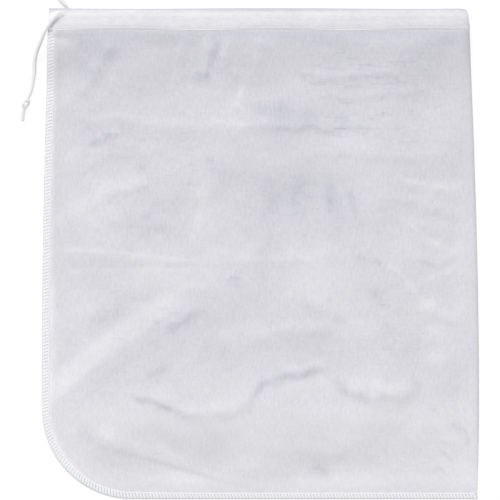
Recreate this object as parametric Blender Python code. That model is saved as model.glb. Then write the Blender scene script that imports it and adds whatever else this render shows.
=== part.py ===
"""Mesh produce bag, lying flat on its back: a folded sheet of fine mesh with a drawstring casing.

Metres. +X runs across the bag towards its folded side, +Y runs from the closed bottom to the mouth, +Z is up.
The bag without its loose cord ends is centred on the origin and rests on z = 0.
"""

import math

import bmesh
import bpy

# Overall sizes of the bag as it lies.
BAG_HEIGHT = 0.356
BELLY_WIDTH = 0.318
BELLY_ABOVE_CORNER = 0.009
LEFT_FLARE = 0.005
RIGHT_FLARE = 0.009
FOOT_FLARE = 0.0012
CORNER_RADIUS = 0.0655

# Cloth, thread and cord.
MESH_THICKNESS = 0.0005
CASING_WALL = 0.0004
THREAD = 0.0003
CORD_DIAMETER = 0.003
CLEARANCE = 0.0003
CORD_CLEARANCE = 0.00035

# Drawstring casing along the mouth.
CASING_HEIGHT = 0.0156
CASING_NECK = 0.007
SHEET_TUCK = 0.004
LIP_SETTLE = 0.0008
MOUTH_GAP = 0.005
CASING_INSET = 0.0064
FRONT_TONGUE = 0.0102
BACK_TONGUE = 0.0236
STITCH_INSET = 0.0015
STITCH_WIDTH = 0.0008

# Overlocked seam along the left side, the round corner and the bottom.
SEAM_WIDTH = 0.0047
SEAM_FLAT = 0.006
NEEDLE_LINE_WIDTH = 0.0006
SEAM_START_BELOW_CASING = 0.0065
SEAM_DESCENT = 0.045
FLOOR_CLEARANCE = 0.0001
SEAM_TAIL = 0.0005
SIDE_SPREAD_START = 0.02

# How the two layers stand apart.
BELLY_Z = 0.0095
FOLD_Z = 0.0056
FRONT_RISE = 0.05
BACK_RISE = 0.012
FOLD_FLAT = 0.006
FOLD_BLEND = 0.07
FRONT_TOP_BLEND = 0.05
BACK_TOP_BLEND = 0.025
SEAM_TOP_BLEND = 0.006
TOP_BLEND_REACH = 0.06

# Loose cord ends: the knots and the stubs beyond them.
KNOT_WIDTH = 0.0064
KNOT_LENGTH = 0.0088
KNOT_HEIGHT = 0.006
KNOT_LUMP = 0.08
TUBE_ROUNDNESS = 2
CORD_LEAD = 0.0018

# Hand-chosen routes of the loose cord ends, from the casing to the knot, and of the stubs. Each point is
# (across from the exit, along from the cord in the casing, share of the height from floor to casing).
FRONT_TAIL = [
    (-0.0042, -0.0014, 1.055),
    (-0.0080, -0.0060, 1.080),
    (-0.0109, -0.0107, 1.015),
    (-0.0137, -0.0150, 0.880),
    (-0.0166, -0.0212, 0.640),
    (-0.0197, -0.0285, 0.370),
    (-0.0214, -0.0357, 0.170),
    (-0.0218, -0.0430, 0.050),
    (-0.0229, -0.0502, 0.010),
    (-0.0243, -0.0568, 0.035),
    (-0.0262, -0.0612, 0.085),
]
FRONT_KNOT = (-0.0280, -0.0659)
FRONT_STUB = [
    (-0.0294, -0.0706, 0.085),
    (-0.0302, -0.0743, 0.030),
    (-0.0304, -0.0789, 0.010),
]
BACK_TAIL = [
    (-0.0040, 0.0002, 0.80),
    (-0.0075, 0.0013, 0.29),
    (-0.0100, 0.0031, 0.10),
    (-0.0122, 0.0051, 0.04),
    (-0.0145, 0.0075, 0.04),
    (-0.0180, 0.0114, 0.04),
    (-0.0228, 0.0154, 0.04),
    (-0.0288, 0.0185, 0.04),
    (-0.0355, 0.0204, 0.04),
    (-0.0425, 0.0213, 0.13),
    (-0.0495, 0.0215, 0.66),
    (-0.0540, 0.0214, 1.20),
]
BACK_KNOT = (-0.0590, 0.0212)
BACK_STUB = [
    (-0.0639, 0.0208, 1.20),
    (-0.0680, 0.0202, 0.40),
    (-0.0722, 0.0192, 0.13),
]

# Values that follow from the sizes above.
TOP_Y = BAG_HEIGHT / 2
CASING_LOW_Y = TOP_Y - CASING_HEIGHT
SHEET_TOP_Y = CASING_LOW_Y + SHEET_TUCK
TUBE_IN = CORD_DIAMETER / 2 + CORD_CLEARANCE
TUBE_OUT = TUBE_IN + CASING_WALL
CORD_Y = TOP_Y - TUBE_OUT
LIP_IN = MESH_THICKNESS / 2 + CLEARANCE
TONGUE_DEPTH = CORD_DIAMETER / 2 - CLEARANCE
LIP_OUT = LIP_IN + CASING_WALL
BACK_Z = TUBE_OUT
FRONT_Z = BACK_Z + 2 * TUBE_OUT + MOUTH_GAP
MIDDLE_Z = (FRONT_Z + BACK_Z) / 2
BEND_RADIUS = (FRONT_Z - BACK_Z) / 2
THREAD_REACH = THREAD + CLEARANCE
EDGE_LEFT = -BELLY_WIDTH / 2 + THREAD_REACH
CASING_LEFT_X = -BELLY_WIDTH / 2 + CASING_INSET
FRONT_EXIT_X = CASING_LEFT_X + FRONT_TONGUE
BACK_EXIT_X = CASING_LEFT_X + BACK_TONGUE
EDGE_BOTTOM = -BAG_HEIGHT / 2 + THREAD_REACH
CORNER_X = EDGE_LEFT + CORNER_RADIUS
CORNER_Y = EDGE_BOTTOM + CORNER_RADIUS
BELLY_LEVEL = CORNER_Y + BELLY_ABOVE_CORNER
LAYER_OFFSET = MESH_THICKNESS / 2 + CLEARANCE / 2
SEAM_HALF = LAYER_OFFSET + MESH_THICKNESS / 2 + CLEARANCE + THREAD
SEAM_Z = FLOOR_CLEARANCE + SEAM_HALF
SEAM_TOP_Y = CASING_LOW_Y - SEAM_START_BELOW_CASING
BEND_X = BELLY_WIDTH / 2 - RIGHT_FLARE - MESH_THICKNESS / 2 - BEND_RADIUS

# Where the grid lines of the sheet run.
SEAM_LEVELS = [0, SEAM_FLAT, 0.009, 0.0125, 0.018, 0.028, 0.042, CORNER_RADIUS]
CORNER_STEPS = 10
PANEL_COLUMNS = 9
FOLD_STEPS = 6
BEND_STEPS = 10
BODY_ROWS = 8
TOP_ROW = CASING_LOW_Y - FRONT_TOP_BLEND
ROWS_UP = [CORNER_Y]
ROWS_UP += [BELLY_LEVEL + (TOP_ROW - BELLY_LEVEL) * i / BODY_ROWS for i in range(BODY_ROWS + 1)]
ROWS_UP += [CASING_LOW_Y - below for below in (0.042, 0.034, 0.027, 0.02, 0.0125)]
ROWS_UP += [SEAM_TOP_Y, CASING_LOW_Y - 0.0035, CASING_LOW_Y - LIP_SETTLE, SHEET_TOP_Y]


def clear_scene():
    """Remove whatever the scene starts with."""
    for old in list(bpy.data.objects):
        bpy.data.objects.remove(old, do_unlink=True)


def smooth(share):
    """An S-shaped step from 0 to 1."""
    share = min(max(share, 0.0), 1.0)
    return share * share * (3 - 2 * share)


def mixed(first, second, share):
    """A value between two others."""
    return first + (second - first) * share


def material(name, colour, roughness=0.85):
    """A plain cloth or thread material."""
    made = bpy.data.materials.new(name)
    made.use_nodes = True
    surface = made.node_tree.nodes["Principled BSDF"]
    surface.inputs["Base Color"].default_value = (*colour, 1)
    surface.inputs["Roughness"].default_value = roughness
    made.diffuse_color = (*colour, 1)
    return made


def solid(name, faces, colour):
    """A closed mesh from faces given by their corner points, equal corners merged."""
    numbers, corners, loops = {}, [], []
    for face in faces:
        loop = []
        for point in face:
            key = tuple(round(value, 8) for value in point)
            if key not in numbers:
                numbers[key] = len(corners)
                corners.append(key)
            if numbers[key] not in loop:
                loop.append(numbers[key])
        if len(loop) > 2:
            loops.append(loop)
    mesh = bpy.data.meshes.new(name)
    mesh.from_pydata(corners, [], loops)
    work = bmesh.new()
    work.from_mesh(mesh)
    bmesh.ops.recalc_face_normals(work, faces=work.faces)
    work.to_mesh(mesh)
    work.free()
    mesh.materials.append(material(name, colour))
    made = bpy.data.objects.new(name, mesh)
    bpy.context.scene.collection.objects.link(made)
    return made


def swept(name, sections, colour):
    """A bar with the same number of corners in each of its cross-sections, closed at both ends."""
    faces = [list(sections[0]), list(reversed(sections[-1]))]
    count = len(sections[0])
    for near, far in zip(sections, sections[1:]):
        for i in range(count):
            j = (i + 1) % count
            faces.append([near[i], near[j], far[j], far[i]])
    return solid(name, faces, colour)


def cut_away(target, low, high):
    """Take a box out of a solid."""
    (x0, y0, z0), (x1, y1, z1) = low, high
    ring = [(y0, z0), (y1, z0), (y1, z1), (y0, z1)]
    cutter = swept(
        target.name + "_cutter",
        [[(x, y, z) for y, z in ring] for x in (x0, x1)],
        (1, 0, 0),
    )
    cutter.hide_render = True
    cutter.display_type = "WIRE"
    step = target.modifiers.new("exit", "BOOLEAN")
    step.operation = "DIFFERENCE"
    step.solver = "EXACT"
    step.object = cutter


def smooth_route(points, spacing):
    """Points read at an even spacing from a smooth curve through the given ones."""
    ends = [points[0], *points, points[-1]]
    fine = []
    for a, b, c, d in zip(ends, ends[1:], ends[2:], ends[3:]):
        for step in range(12):
            t = step / 12
            fine.append(tuple(
                0.5 * (2 * q + (r - p) * t + (2 * p - 5 * q + 4 * r - s) * t * t
                       + (3 * q - p - 3 * r + s) * t ** 3)
                for p, q, r, s in zip(a, b, c, d)
            ))
    fine.append(tuple(points[-1]))
    lengths = [0.0]
    for a, b in zip(fine, fine[1:]):
        lengths.append(lengths[-1] + math.dist(a, b))
    count = max(2, round(lengths[-1] / spacing))
    route, i = [], 0
    for number in range(count + 1):
        want = lengths[-1] * number / count
        while i < len(fine) - 2 and lengths[i + 1] < want:
            i += 1
        share = (want - lengths[i]) / (lengths[i + 1] - lengths[i])
        route.append(tuple(mixed(p, q, share) for p, q in zip(fine[i], fine[i + 1])))
    return route


def cord(name, points, colour):
    """A round cord along a row of points, with filled ends."""
    curve = bpy.data.curves.new(name, "CURVE")
    curve.dimensions = "3D"
    curve.bevel_depth = CORD_DIAMETER / 2
    curve.bevel_resolution = TUBE_ROUNDNESS
    curve.use_fill_caps = True
    line = curve.splines.new("POLY")
    line.points.add(len(points) - 1)
    for place, point in zip(line.points, points):
        place.co = (*point, 1)
    curve.materials.append(material(name, colour, 0.75))
    made = bpy.data.objects.new(name, curve)
    bpy.context.scene.collection.objects.link(made)
    return made


def laid_point(point, exit_x, height):
    """A place on a loose cord end, its last value a share of the way up from the floor to the casing."""
    across, along, share = point
    return exit_x + across, CORD_Y + along, mixed(CORD_DIAMETER / 2, height, share)


def left_edge(y):
    """The raw edge of the sheet on the seamed side."""
    up = max(0.0, (y - BELLY_LEVEL) / (CASING_LOW_Y - BELLY_LEVEL))
    return EDGE_LEFT + LEFT_FLARE * min(up, 1.0) ** 2


def right_edge(y):
    """The outside of the fold."""
    up = max(0.0, (y - BELLY_LEVEL) / (CASING_LOW_Y - BELLY_LEVEL))
    down = max(0.0, (BELLY_LEVEL - y) / (BELLY_LEVEL - EDGE_BOTTOM))
    return BELLY_WIDTH / 2 - RIGHT_FLARE * min(up, 1.0) ** 2 - FOOT_FLARE * down ** 2


def seam_middle(y):
    """The height of the seam between its two layers, falling from the casing to the floor."""
    start = CASING_LOW_Y - SEAM_DESCENT
    fall = SEAM_DESCENT - SEAM_START_BELOW_CASING
    return mixed(SEAM_Z, MIDDLE_Z, smooth((y - start) / fall))


def lift_to_casing(y, inset, length):
    """How far a layer has risen into the casing, quickly beside the seam and gently elsewhere."""
    length = mixed(SEAM_TOP_BLEND, length, smooth((inset - SEAM_FLAT) / TOP_BLEND_REACH))
    lift = smooth((y - CASING_LOW_Y + length) / (length - LIP_SETTLE))
    return lift * smooth(inset / SEAM_FLAT)


def front_height(x, y, inset):
    """The middle of the front layer."""
    seam = seam_middle(y) + LAYER_OFFSET
    belly = mixed(seam, BELLY_Z, smooth((inset - SEAM_FLAT) / FRONT_RISE))
    foot = smooth((y - EDGE_BOTTOM - SEAM_FLAT) / FRONT_RISE)
    fold = mixed(SEAM_Z + LAYER_OFFSET, FOLD_Z, foot)
    body = mixed(fold, belly, smooth((right_edge(y) - FOLD_FLAT - x) / FOLD_BLEND))
    return mixed(body, FRONT_Z, lift_to_casing(y, inset, FRONT_TOP_BLEND))


def back_height(y, inset):
    """The middle of the back layer."""
    seam = seam_middle(y) - LAYER_OFFSET
    flat = mixed(seam, MESH_THICKNESS / 2, smooth((inset - SEAM_FLAT) / BACK_RISE))
    return mixed(flat, BACK_Z, lift_to_casing(y, inset, BACK_TOP_BLEND))


def seam_side_point(y, inset):
    """A place beside the straight left seam."""
    spread = CORNER_X - left_edge(y) - CORNER_RADIUS
    share = max(0.0, (inset - SIDE_SPREAD_START) / (CORNER_RADIUS - SIDE_SPREAD_START))
    return left_edge(y) + inset + spread * share, y


def corner_point(angle, inset):
    """A place beside the round corner, the angle counted from the bottom."""
    reach = CORNER_RADIUS - inset
    return CORNER_X - reach * math.sin(angle), CORNER_Y - reach * math.cos(angle)


def fold_start(y):
    """Where the flat of the sheet ends and the fold begins, its radius and its height."""
    inset = min(y - EDGE_BOTTOM, CORNER_RADIUS)
    front = front_height(right_edge(y), y, inset)
    back = back_height(y, inset)
    radius = (front - back) / 2
    return right_edge(y) - MESH_THICKNESS / 2 - radius, radius, (front + back) / 2


def panel_quads():
    """The flat pattern of one layer as four-cornered patches of (x, y, inset)."""
    patches = []

    def grid(lines):
        for one, two in zip(lines, lines[1:]):
            for i in range(len(one) - 1):
                patches.append([one[i], one[i + 1], two[i + 1], two[i]])

    grid([[(*seam_side_point(y, s), s) for s in SEAM_LEVELS] for y in ROWS_UP])
    angles = [math.pi / 2 * i / CORNER_STEPS for i in range(CORNER_STEPS + 1)]
    grid([[(*corner_point(a, s), s) for s in SEAM_LEVELS] for a in angles])
    rows = [EDGE_BOTTOM + s for s in SEAM_LEVELS[:-1]] + ROWS_UP
    lines = []
    for y in rows:
        inset = min(y - EDGE_BOTTOM, CORNER_RADIUS)
        end = fold_start(y)[0]
        lines.append([
            (mixed(CORNER_X, end, i / PANEL_COLUMNS), y, inset) for i in range(PANEL_COLUMNS + 1)
        ])
    grid(lines)
    return patches, rows


def outer_rim():
    """The open edge of the pattern in order, from the mouth down the seam and along the bottom."""
    rim = [(*seam_side_point(y, 0), 0) for y in reversed(ROWS_UP)]
    rim += [
        (*corner_point(math.pi / 2 * i / CORNER_STEPS, 0), 0) for i in reversed(range(CORNER_STEPS))
    ]
    end = fold_start(EDGE_BOTTOM)[0]
    rim += [
        (mixed(CORNER_X, end, i / PANEL_COLUMNS), EDGE_BOTTOM, 0) for i in range(1, PANEL_COLUMNS + 1)
    ]
    top = [(*seam_side_point(SHEET_TOP_Y, s), s) for s in SEAM_LEVELS]
    end = fold_start(SHEET_TOP_Y)[0]
    top += [
        (mixed(CORNER_X, end, i / PANEL_COLUMNS), SHEET_TOP_Y, CORNER_RADIUS)
        for i in range(1, PANEL_COLUMNS + 1)
    ]
    return rim, top


def build_mesh_body():
    """One sheet folded along its right side, both layers and the fold in one piece."""
    half = MESH_THICKNESS / 2
    patches, rows = panel_quads()
    faces = []

    def front(point, side):
        x, y, inset = point
        return x, y, front_height(x, y, inset) + side * half

    def back(point, side):
        x, y, inset = point
        return x, y, back_height(y, inset) - side * half

    for layer in (front, back):
        for side in (1, -1):
            faces += [[layer(p, side) for p in patch] for patch in patches]
        for edge in outer_rim():
            for a, b in zip(edge, edge[1:]):
                faces.append([layer(a, 1), layer(b, 1), layer(b, -1), layer(a, -1)])

    def around(y, step, side):
        x, radius, height = fold_start(y)
        angle = math.pi * step / FOLD_STEPS
        reach = radius + side * half
        return x + reach * math.sin(angle), y, height + reach * math.cos(angle)

    for step in range(FOLD_STEPS):
        for side in (1, -1):
            for low, high in zip(rows, rows[1:]):
                faces.append([
                    around(low, step, side), around(low, step + 1, side),
                    around(high, step + 1, side), around(high, step, side),
                ])
        for y in (rows[0], rows[-1]):
            faces.append([
                around(y, step, 1), around(y, step + 1, 1),
                around(y, step + 1, -1), around(y, step, -1),
            ])
    return solid("mesh_body", faces, (0.70, 0.69, 0.74))


def mouth_sections(profile, front_left, back_left):
    """A (y, outward) profile carried along the front of the mouth, round the fold and back."""
    sections = [[(front_left, y, FRONT_Z + q) for y, q in profile]]
    for step in range(BEND_STEPS + 1):
        angle = math.pi * step / BEND_STEPS
        sections.append([
            (
                BEND_X + (BEND_RADIUS + q) * math.sin(angle),
                y,
                MIDDLE_Z + (BEND_RADIUS + q) * math.cos(angle),
            )
            for y, q in profile
        ])
    sections.append([(back_left, y, BACK_Z - q) for y, q in profile])
    return sections


def build_casing():
    """The strip folded over the cord, its two lips gripping the sheet, with a tongue at each exit."""
    turns = [math.radians(a) for a in (120, 80, 40, 0, -40, -80, -120)]
    neck = CORD_Y - CASING_NECK
    outside = [(CASING_LOW_Y, LIP_OUT), (neck, LIP_OUT)]
    outside += [(CORD_Y + TUBE_OUT * math.cos(a), TUBE_OUT * math.sin(a)) for a in turns]
    outside += [(neck, -LIP_OUT), (CASING_LOW_Y, -LIP_OUT)]
    inside = [(CASING_LOW_Y, -LIP_IN), (neck, -LIP_IN)]
    inside += [
        (CORD_Y + TUBE_IN * math.cos(a), TUBE_IN * math.sin(a)) for a in reversed(turns)
    ]
    inside += [(neck, LIP_IN), (CASING_LOW_Y, LIP_IN)]
    sections = mouth_sections(outside + inside, CASING_LEFT_X, CASING_LEFT_X)
    casing = swept("drawstring_casing", sections, (0.82, 0.81, 0.85))
    beyond = CASING_LEFT_X - 0.01
    below = CASING_LOW_Y - 0.01
    above = TOP_Y + 0.01
    cut_away(
        casing,
        (beyond, below, FRONT_Z - TONGUE_DEPTH),
        (FRONT_EXIT_X, above, FRONT_Z + 2 * TUBE_OUT),
    )
    cut_away(
        casing,
        (beyond, below, BACK_Z - 2 * TUBE_OUT),
        (BACK_EXIT_X, above, BACK_Z + TONGUE_DEPTH),
    )


def build_casing_stitches():
    """The two threads of the lockstitch that holds the casing to the sheet, outside and inside."""
    low = CASING_LOW_Y + STITCH_INSET
    high = low + STITCH_WIDTH
    near = LIP_OUT + CLEARANCE
    far = near + THREAD
    front_left = FRONT_EXIT_X + STITCH_INSET
    back_left = BACK_EXIT_X + STITCH_INSET
    for name, side in (("casing_needle_thread", 1), ("casing_bobbin_thread", -1)):
        profile = [(low, side * near), (high, side * near), (high, side * far), (low, side * far)]
        swept(name, mouth_sections(profile, front_left, back_left), (0.86, 0.86, 0.88))


def seam_sections(profile):
    """A (distance in from the edge, height) profile carried down the side, round the corner, along the foot."""
    sections = []
    for y in reversed(ROWS_UP):
        if y <= SEAM_TOP_Y + 1e-9:
            middle = seam_middle(y)
            sections.append([(left_edge(y) + d, y, middle + z) for d, z in profile])
    for i in reversed(range(CORNER_STEPS)):
        angle = math.pi / 2 * i / CORNER_STEPS
        sections.append([(*corner_point(angle, d), SEAM_Z + z) for d, z in profile])
    end = right_edge(EDGE_BOTTOM) + SEAM_TAIL
    sections.append([(end, EDGE_BOTTOM + d, SEAM_Z + z) for d, z in profile])
    return sections


def build_overlock():
    """The three threads of the overlocked seam: a needle line and two loopers meeting at the edge."""
    face = SEAM_HALF - THREAD
    meet = CLEARANCE / 2
    for name, side in (("overlock_upper_looper_thread", 1), ("overlock_lower_looper_thread", -1)):
        profile = [
            (SEAM_WIDTH, side * face),
            (SEAM_WIDTH, side * SEAM_HALF),
            (-THREAD_REACH, side * SEAM_HALF),
            (-THREAD_REACH, side * meet),
            (-CLEARANCE, side * meet),
            (-CLEARANCE, side * face),
        ]
        swept(name, seam_sections(profile), (0.84, 0.84, 0.87))
    inner = SEAM_WIDTH + CLEARANCE
    outer = inner + NEEDLE_LINE_WIDTH
    profile = [(inner, face), (outer, face), (outer, SEAM_HALF), (inner, SEAM_HALF)]
    swept("overlock_needle_thread", seam_sections(profile), (0.86, 0.86, 0.88))


def build_knot(name, place, start, toward):
    """A pulled-tight overhand knot as one lumpy solid, long along the cord and resting on the floor."""
    centre = (start[0] + place[0], start[1] + place[1], KNOT_HEIGHT / 2 + FLOOR_CLEARANCE)
    lines, around = 9, 14
    heading = math.atan2(toward[1] - place[1], toward[0] - place[0])

    def point(i, j):
        polar = math.pi * i / lines
        turn = 2 * math.pi * j / around
        lump = 1 + KNOT_LUMP * math.sin(polar) * math.cos(2 * turn + 3 * polar)
        along = KNOT_LENGTH / 2 * math.cos(polar)
        side = KNOT_WIDTH / 2 * math.sin(polar) * math.cos(turn) * lump
        up = KNOT_HEIGHT / 2 * math.sin(polar) * math.sin(turn)
        return (
            centre[0] + along * math.cos(heading) - side * math.sin(heading),
            centre[1] + along * math.sin(heading) + side * math.cos(heading),
            centre[2] + up,
        )

    faces = []
    for i in range(lines):
        for j in range(around):
            k = (j + 1) % around
            faces.append([point(i, j), point(i, k), point(i + 1, k), point(i + 1, j)])
    solid(name, faces, (0.88, 0.88, 0.89))


def build_drawstring():
    """One cord in nine lengths: a bend at the fold, and on each side a run, a loose end, a knot and a stub."""
    white = (0.87, 0.87, 0.88)
    run_end = BEND_X - 2 * CLEARANCE
    cord("drawstring_front_run", [(FRONT_EXIT_X, CORD_Y, FRONT_Z), (run_end, CORD_Y, FRONT_Z)], white)
    cord("drawstring_back_run", [(BACK_EXIT_X, CORD_Y, BACK_Z), (run_end, CORD_Y, BACK_Z)], white)
    bend = []
    for step in range(BEND_STEPS + 1):
        angle = math.pi * step / BEND_STEPS
        x = BEND_X + BEND_RADIUS * math.sin(angle)
        bend.append((x, CORD_Y, MIDDLE_Z + BEND_RADIUS * math.cos(angle)))
    cord("drawstring_fold_bend", bend, white)
    for side, exit_x, height, route, knot, stub in (
        ("front", FRONT_EXIT_X, FRONT_Z, FRONT_TAIL, FRONT_KNOT, FRONT_STUB),
        ("back", BACK_EXIT_X, BACK_Z, BACK_TAIL, BACK_KNOT, BACK_STUB),
    ):
        start = (exit_x - CLEARANCE, CORD_Y, height)
        straight = (exit_x - CORD_LEAD, CORD_Y, height)
        loose = [straight, *[laid_point(point, exit_x, height) for point in route]]
        cord(f"drawstring_{side}_tail", [start, *smooth_route(loose, CORD_DIAMETER * 1.5)], white)
        short = [laid_point(point, exit_x, height) for point in stub]
        cord(f"{side}_end_stub", smooth_route(short, CORD_DIAMETER), white)
        build_knot(f"{side}_end_knot", knot, (exit_x, CORD_Y), stub[0])


clear_scene()
build_mesh_body()
build_casing()
build_casing_stitches()
build_overlock()
build_drawstring()
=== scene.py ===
# %% [markdown]
# A drawstring bag of fine white mesh, laid flat and seen from straight above.
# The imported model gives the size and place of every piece, so the frame is loaded first. What no solid can tell, such
# as the creases and tones of the cloth, is read off the photograph further down.

# %% Load the frame
import math

import bpy
import numpy as np
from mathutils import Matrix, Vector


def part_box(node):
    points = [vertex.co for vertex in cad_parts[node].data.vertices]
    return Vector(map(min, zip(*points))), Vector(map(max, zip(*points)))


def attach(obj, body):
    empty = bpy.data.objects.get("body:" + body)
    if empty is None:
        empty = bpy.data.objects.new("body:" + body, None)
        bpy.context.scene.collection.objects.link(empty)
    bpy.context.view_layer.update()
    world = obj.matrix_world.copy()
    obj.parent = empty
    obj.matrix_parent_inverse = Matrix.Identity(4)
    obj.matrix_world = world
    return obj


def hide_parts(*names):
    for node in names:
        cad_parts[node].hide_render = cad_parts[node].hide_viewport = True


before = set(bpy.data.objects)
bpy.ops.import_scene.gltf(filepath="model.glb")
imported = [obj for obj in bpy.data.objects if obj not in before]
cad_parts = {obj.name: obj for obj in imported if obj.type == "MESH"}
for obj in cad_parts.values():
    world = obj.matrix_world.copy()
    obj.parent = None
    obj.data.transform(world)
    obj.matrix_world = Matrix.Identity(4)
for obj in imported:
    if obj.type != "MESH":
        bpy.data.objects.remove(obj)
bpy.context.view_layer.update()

# %% [markdown]
# The bag's own measures come from the boxes of its solids: the raw edges of the mesh, the casing, the cord.
# Reading them here, instead of writing them again, keeps the looks and the solids at one size.

# %% Sizes read from the frame
def box_of(node):
    """The low and the high corner of a solid's box."""
    return [np.array(corner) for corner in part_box(node)]


mesh_low, mesh_high = box_of("mesh_body")
casing_low, casing_high = box_of("drawstring_casing")
front_low, front_high = box_of("drawstring_front_run")
back_low, back_high = box_of("drawstring_back_run")
looper_low = box_of("overlock_upper_looper_thread")[0]

EDGE_LEFT, EDGE_BOTTOM = mesh_low[0], mesh_low[1]
BELLY_RIGHT, SHEET_TOP = mesh_high[0], mesh_high[1]
CASING_LEFT, CASING_LOW = casing_low[0], casing_low[1]
MOUTH_TOP = casing_high[1]
CORD_RADIUS = (front_high[2] - front_low[2]) / 2
CORD_Y = (front_high[1] + front_low[1]) / 2
FRONT_Z = (front_high[2] + front_low[2]) / 2
BACK_Z = (back_high[2] + back_low[2]) / 2
FRONT_EXIT, BACK_EXIT = front_low[0], back_low[0]
print("mouth to foot", MOUTH_TOP - looper_low[1], "m, cord", 2 * CORD_RADIUS, "m")

# %% [markdown]
# The photograph was taken from straight above, so the camera looks down with no tilt, and a long lens keeps the sides
# of the flat bag from leaning. The bag's four sides were measured on the picture, in pixels. They tell how many metres
# a pixel is and where the middle of the picture lies on the floor.

# %% Camera
PICTURE_PIXELS = 500
BAG_LEFT_PIXEL, BAG_RIGHT_PIXEL = 40.3, 480.0
BAG_TOP_PIXEL, BAG_FOOT_PIXEL = 9.0, 500.0
LENS, SENSOR = 200.0, 36.0
METRES_PER_PIXEL = (MOUTH_TOP - looper_low[1]) / (BAG_FOOT_PIXEL - BAG_TOP_PIXEL)
EYE_LEVEL = 0.006


def from_picture(column, row):
    """The place on the floor under a pixel: pixels counted from the bag's middle, times metres a pixel."""
    across = (column - (BAG_LEFT_PIXEL + BAG_RIGHT_PIXEL) / 2) * METRES_PER_PIXEL
    along = ((BAG_TOP_PIXEL + BAG_FOOT_PIXEL) / 2 - row) * METRES_PER_PIXEL
    return across, along


camera_data = bpy.data.cameras.new("camera")
camera_data.lens, camera_data.sensor_width = LENS, SENSOR
camera = bpy.data.objects.new("camera", camera_data)
camera_height = EYE_LEVEL + PICTURE_PIXELS * METRES_PER_PIXEL * LENS / SENSOR
camera.location = (*from_picture(PICTURE_PIXELS / 2, PICTURE_PIXELS / 2), camera_height)
bpy.context.scene.collection.objects.link(camera)
bpy.context.scene.camera = camera
print("camera", tuple(round(v, 4) for v in camera.location))

# %% [markdown]
# Every piece below is a grid of points worked out as whole arrays. One helper lists the four-cornered faces of such a
# grid, one makes the object with its own UV map, and one ties the object to the frame's bodies and solids.

# %% Grids and meshes
def grid_faces(rows, columns, closed=False):
    """Faces of a grid of points stored row after row; closed joins the last column to the first."""
    row = np.arange(rows - 1)[:, None] * columns
    column = np.arange(columns if closed else columns - 1)[None, :]
    following = (column + 1) % columns
    corners = [row + column, row + following, row + columns + following, row + columns + column]
    return np.stack([np.broadcast_to(c, (rows - 1, column.size)) for c in corners], -1).reshape(-1, 4)


def put_mesh(name, points, faces, uv, extra=(), material=None, **measures):
    """A smooth-shaded object from points, quads and a UV pair for each point, with extra end faces.

    Each further measure, such as tone, is one number for each point that the piece's colour can follow."""
    mesh = bpy.data.meshes.new(name)
    mesh.from_pydata(points.reshape(-1, 3).tolist(), [], faces.tolist() + [list(f) for f in extra])
    layer = mesh.uv_layers.new(name="cloth")
    loop_points = np.empty(len(mesh.loops), dtype=np.int32)
    mesh.loops.foreach_get("vertex_index", loop_points)
    layer.data.foreach_set("uv", uv.reshape(-1, 2)[loop_points].astype(np.float32).ravel())
    for measure, values in measures.items():
        stored = mesh.attributes.new(measure, "FLOAT", "POINT")
        stored.data.foreach_set("value", np.asarray(values, np.float32).ravel())
    mesh.shade_smooth()
    made = bpy.data.objects.new(name, mesh)
    bpy.context.scene.collection.objects.link(made)
    if material:
        mesh.materials.append(material)
    return made


def join_frame(piece, body, node):
    """Ties a piece to the frame: the body that it rides on, and hides the solid that it stands for."""
    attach(piece, body)
    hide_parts(node)


print("a grid of 3 by 4 points has", len(grid_faces(3, 4)), "faces")

# %% [markdown]
# Cord and thread are long and round. These helpers draw a smooth path through a few places and carry a round or oval
# ring of points along it. A curve with a bevel could do that too, but a ring of points can also be braided.

# %% Paths and tubes
CURVE_STEPS = 24


def smooth(share):
    """An S-shaped step: three times the square less twice the cube, held between 0 and 1."""
    share = np.clip(share, 0.0, 1.0)
    return share * share * (3 - 2 * share)


def mixed(first, second, share):
    """First at share 0, second at share 1, in a straight line between."""
    return first + (second - first) * share


def unit(vectors):
    """Each vector divided by its length."""
    return vectors / np.linalg.norm(vectors, axis=1, keepdims=True)


def lengths_along(path):
    """Distance from the start of a path to each of its points."""
    return np.concatenate([[0.0], np.cumsum(np.linalg.norm(np.diff(path, axis=0), axis=1))])


def smooth_path(points, spacing):
    """A Catmull-Rom curve through the points, read at an even spacing along its length."""
    points = np.array(points, float)
    ends = np.vstack([points[:1], points, points[-1:]])
    a, b, c, d = ends[:-3, None], ends[1:-2, None], ends[2:-1, None], ends[3:, None]
    t = np.linspace(0, 1, CURVE_STEPS, endpoint=False)[None, :, None]
    curve = 0.5 * (2 * b + (c - a) * t + (2 * a - 5 * b + 4 * c - d) * t**2 + (3 * b - a - 3 * c + d) * t**3)
    curve = np.vstack([curve.reshape(-1, 3), points[-1:]])
    along = lengths_along(curve)
    wanted = np.linspace(0, along[-1], max(2, round(along[-1] / spacing)) + 1)
    return np.stack([np.interp(wanted, along, curve[:, k]) for k in range(3)], -1)


def ring_turn(sides):
    """The angle of each point of a ring, evenly over a full turn."""
    return np.linspace(0, 2 * np.pi, sides, endpoint=False)


def put_rings(name, rings, along, around, material, mirrored=False):
    """A closed tube from rings of points, its UV map in metres along and around; mirrored rings turn the other way."""
    rows, sides = rings.shape[:2]
    last = (rows - 1) * sides
    faces = grid_faces(rows, sides, closed=True)
    caps = [range(sides - 1, -1, -1), range(last, last + sides)]
    if not mirrored:
        faces, caps = faces[:, ::-1], [cap[::-1] for cap in caps]
    uv = np.stack(np.broadcast_arrays(along[:, None], around[None, :]), -1)
    return put_mesh(name, rings, faces, uv, caps, material)


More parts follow.
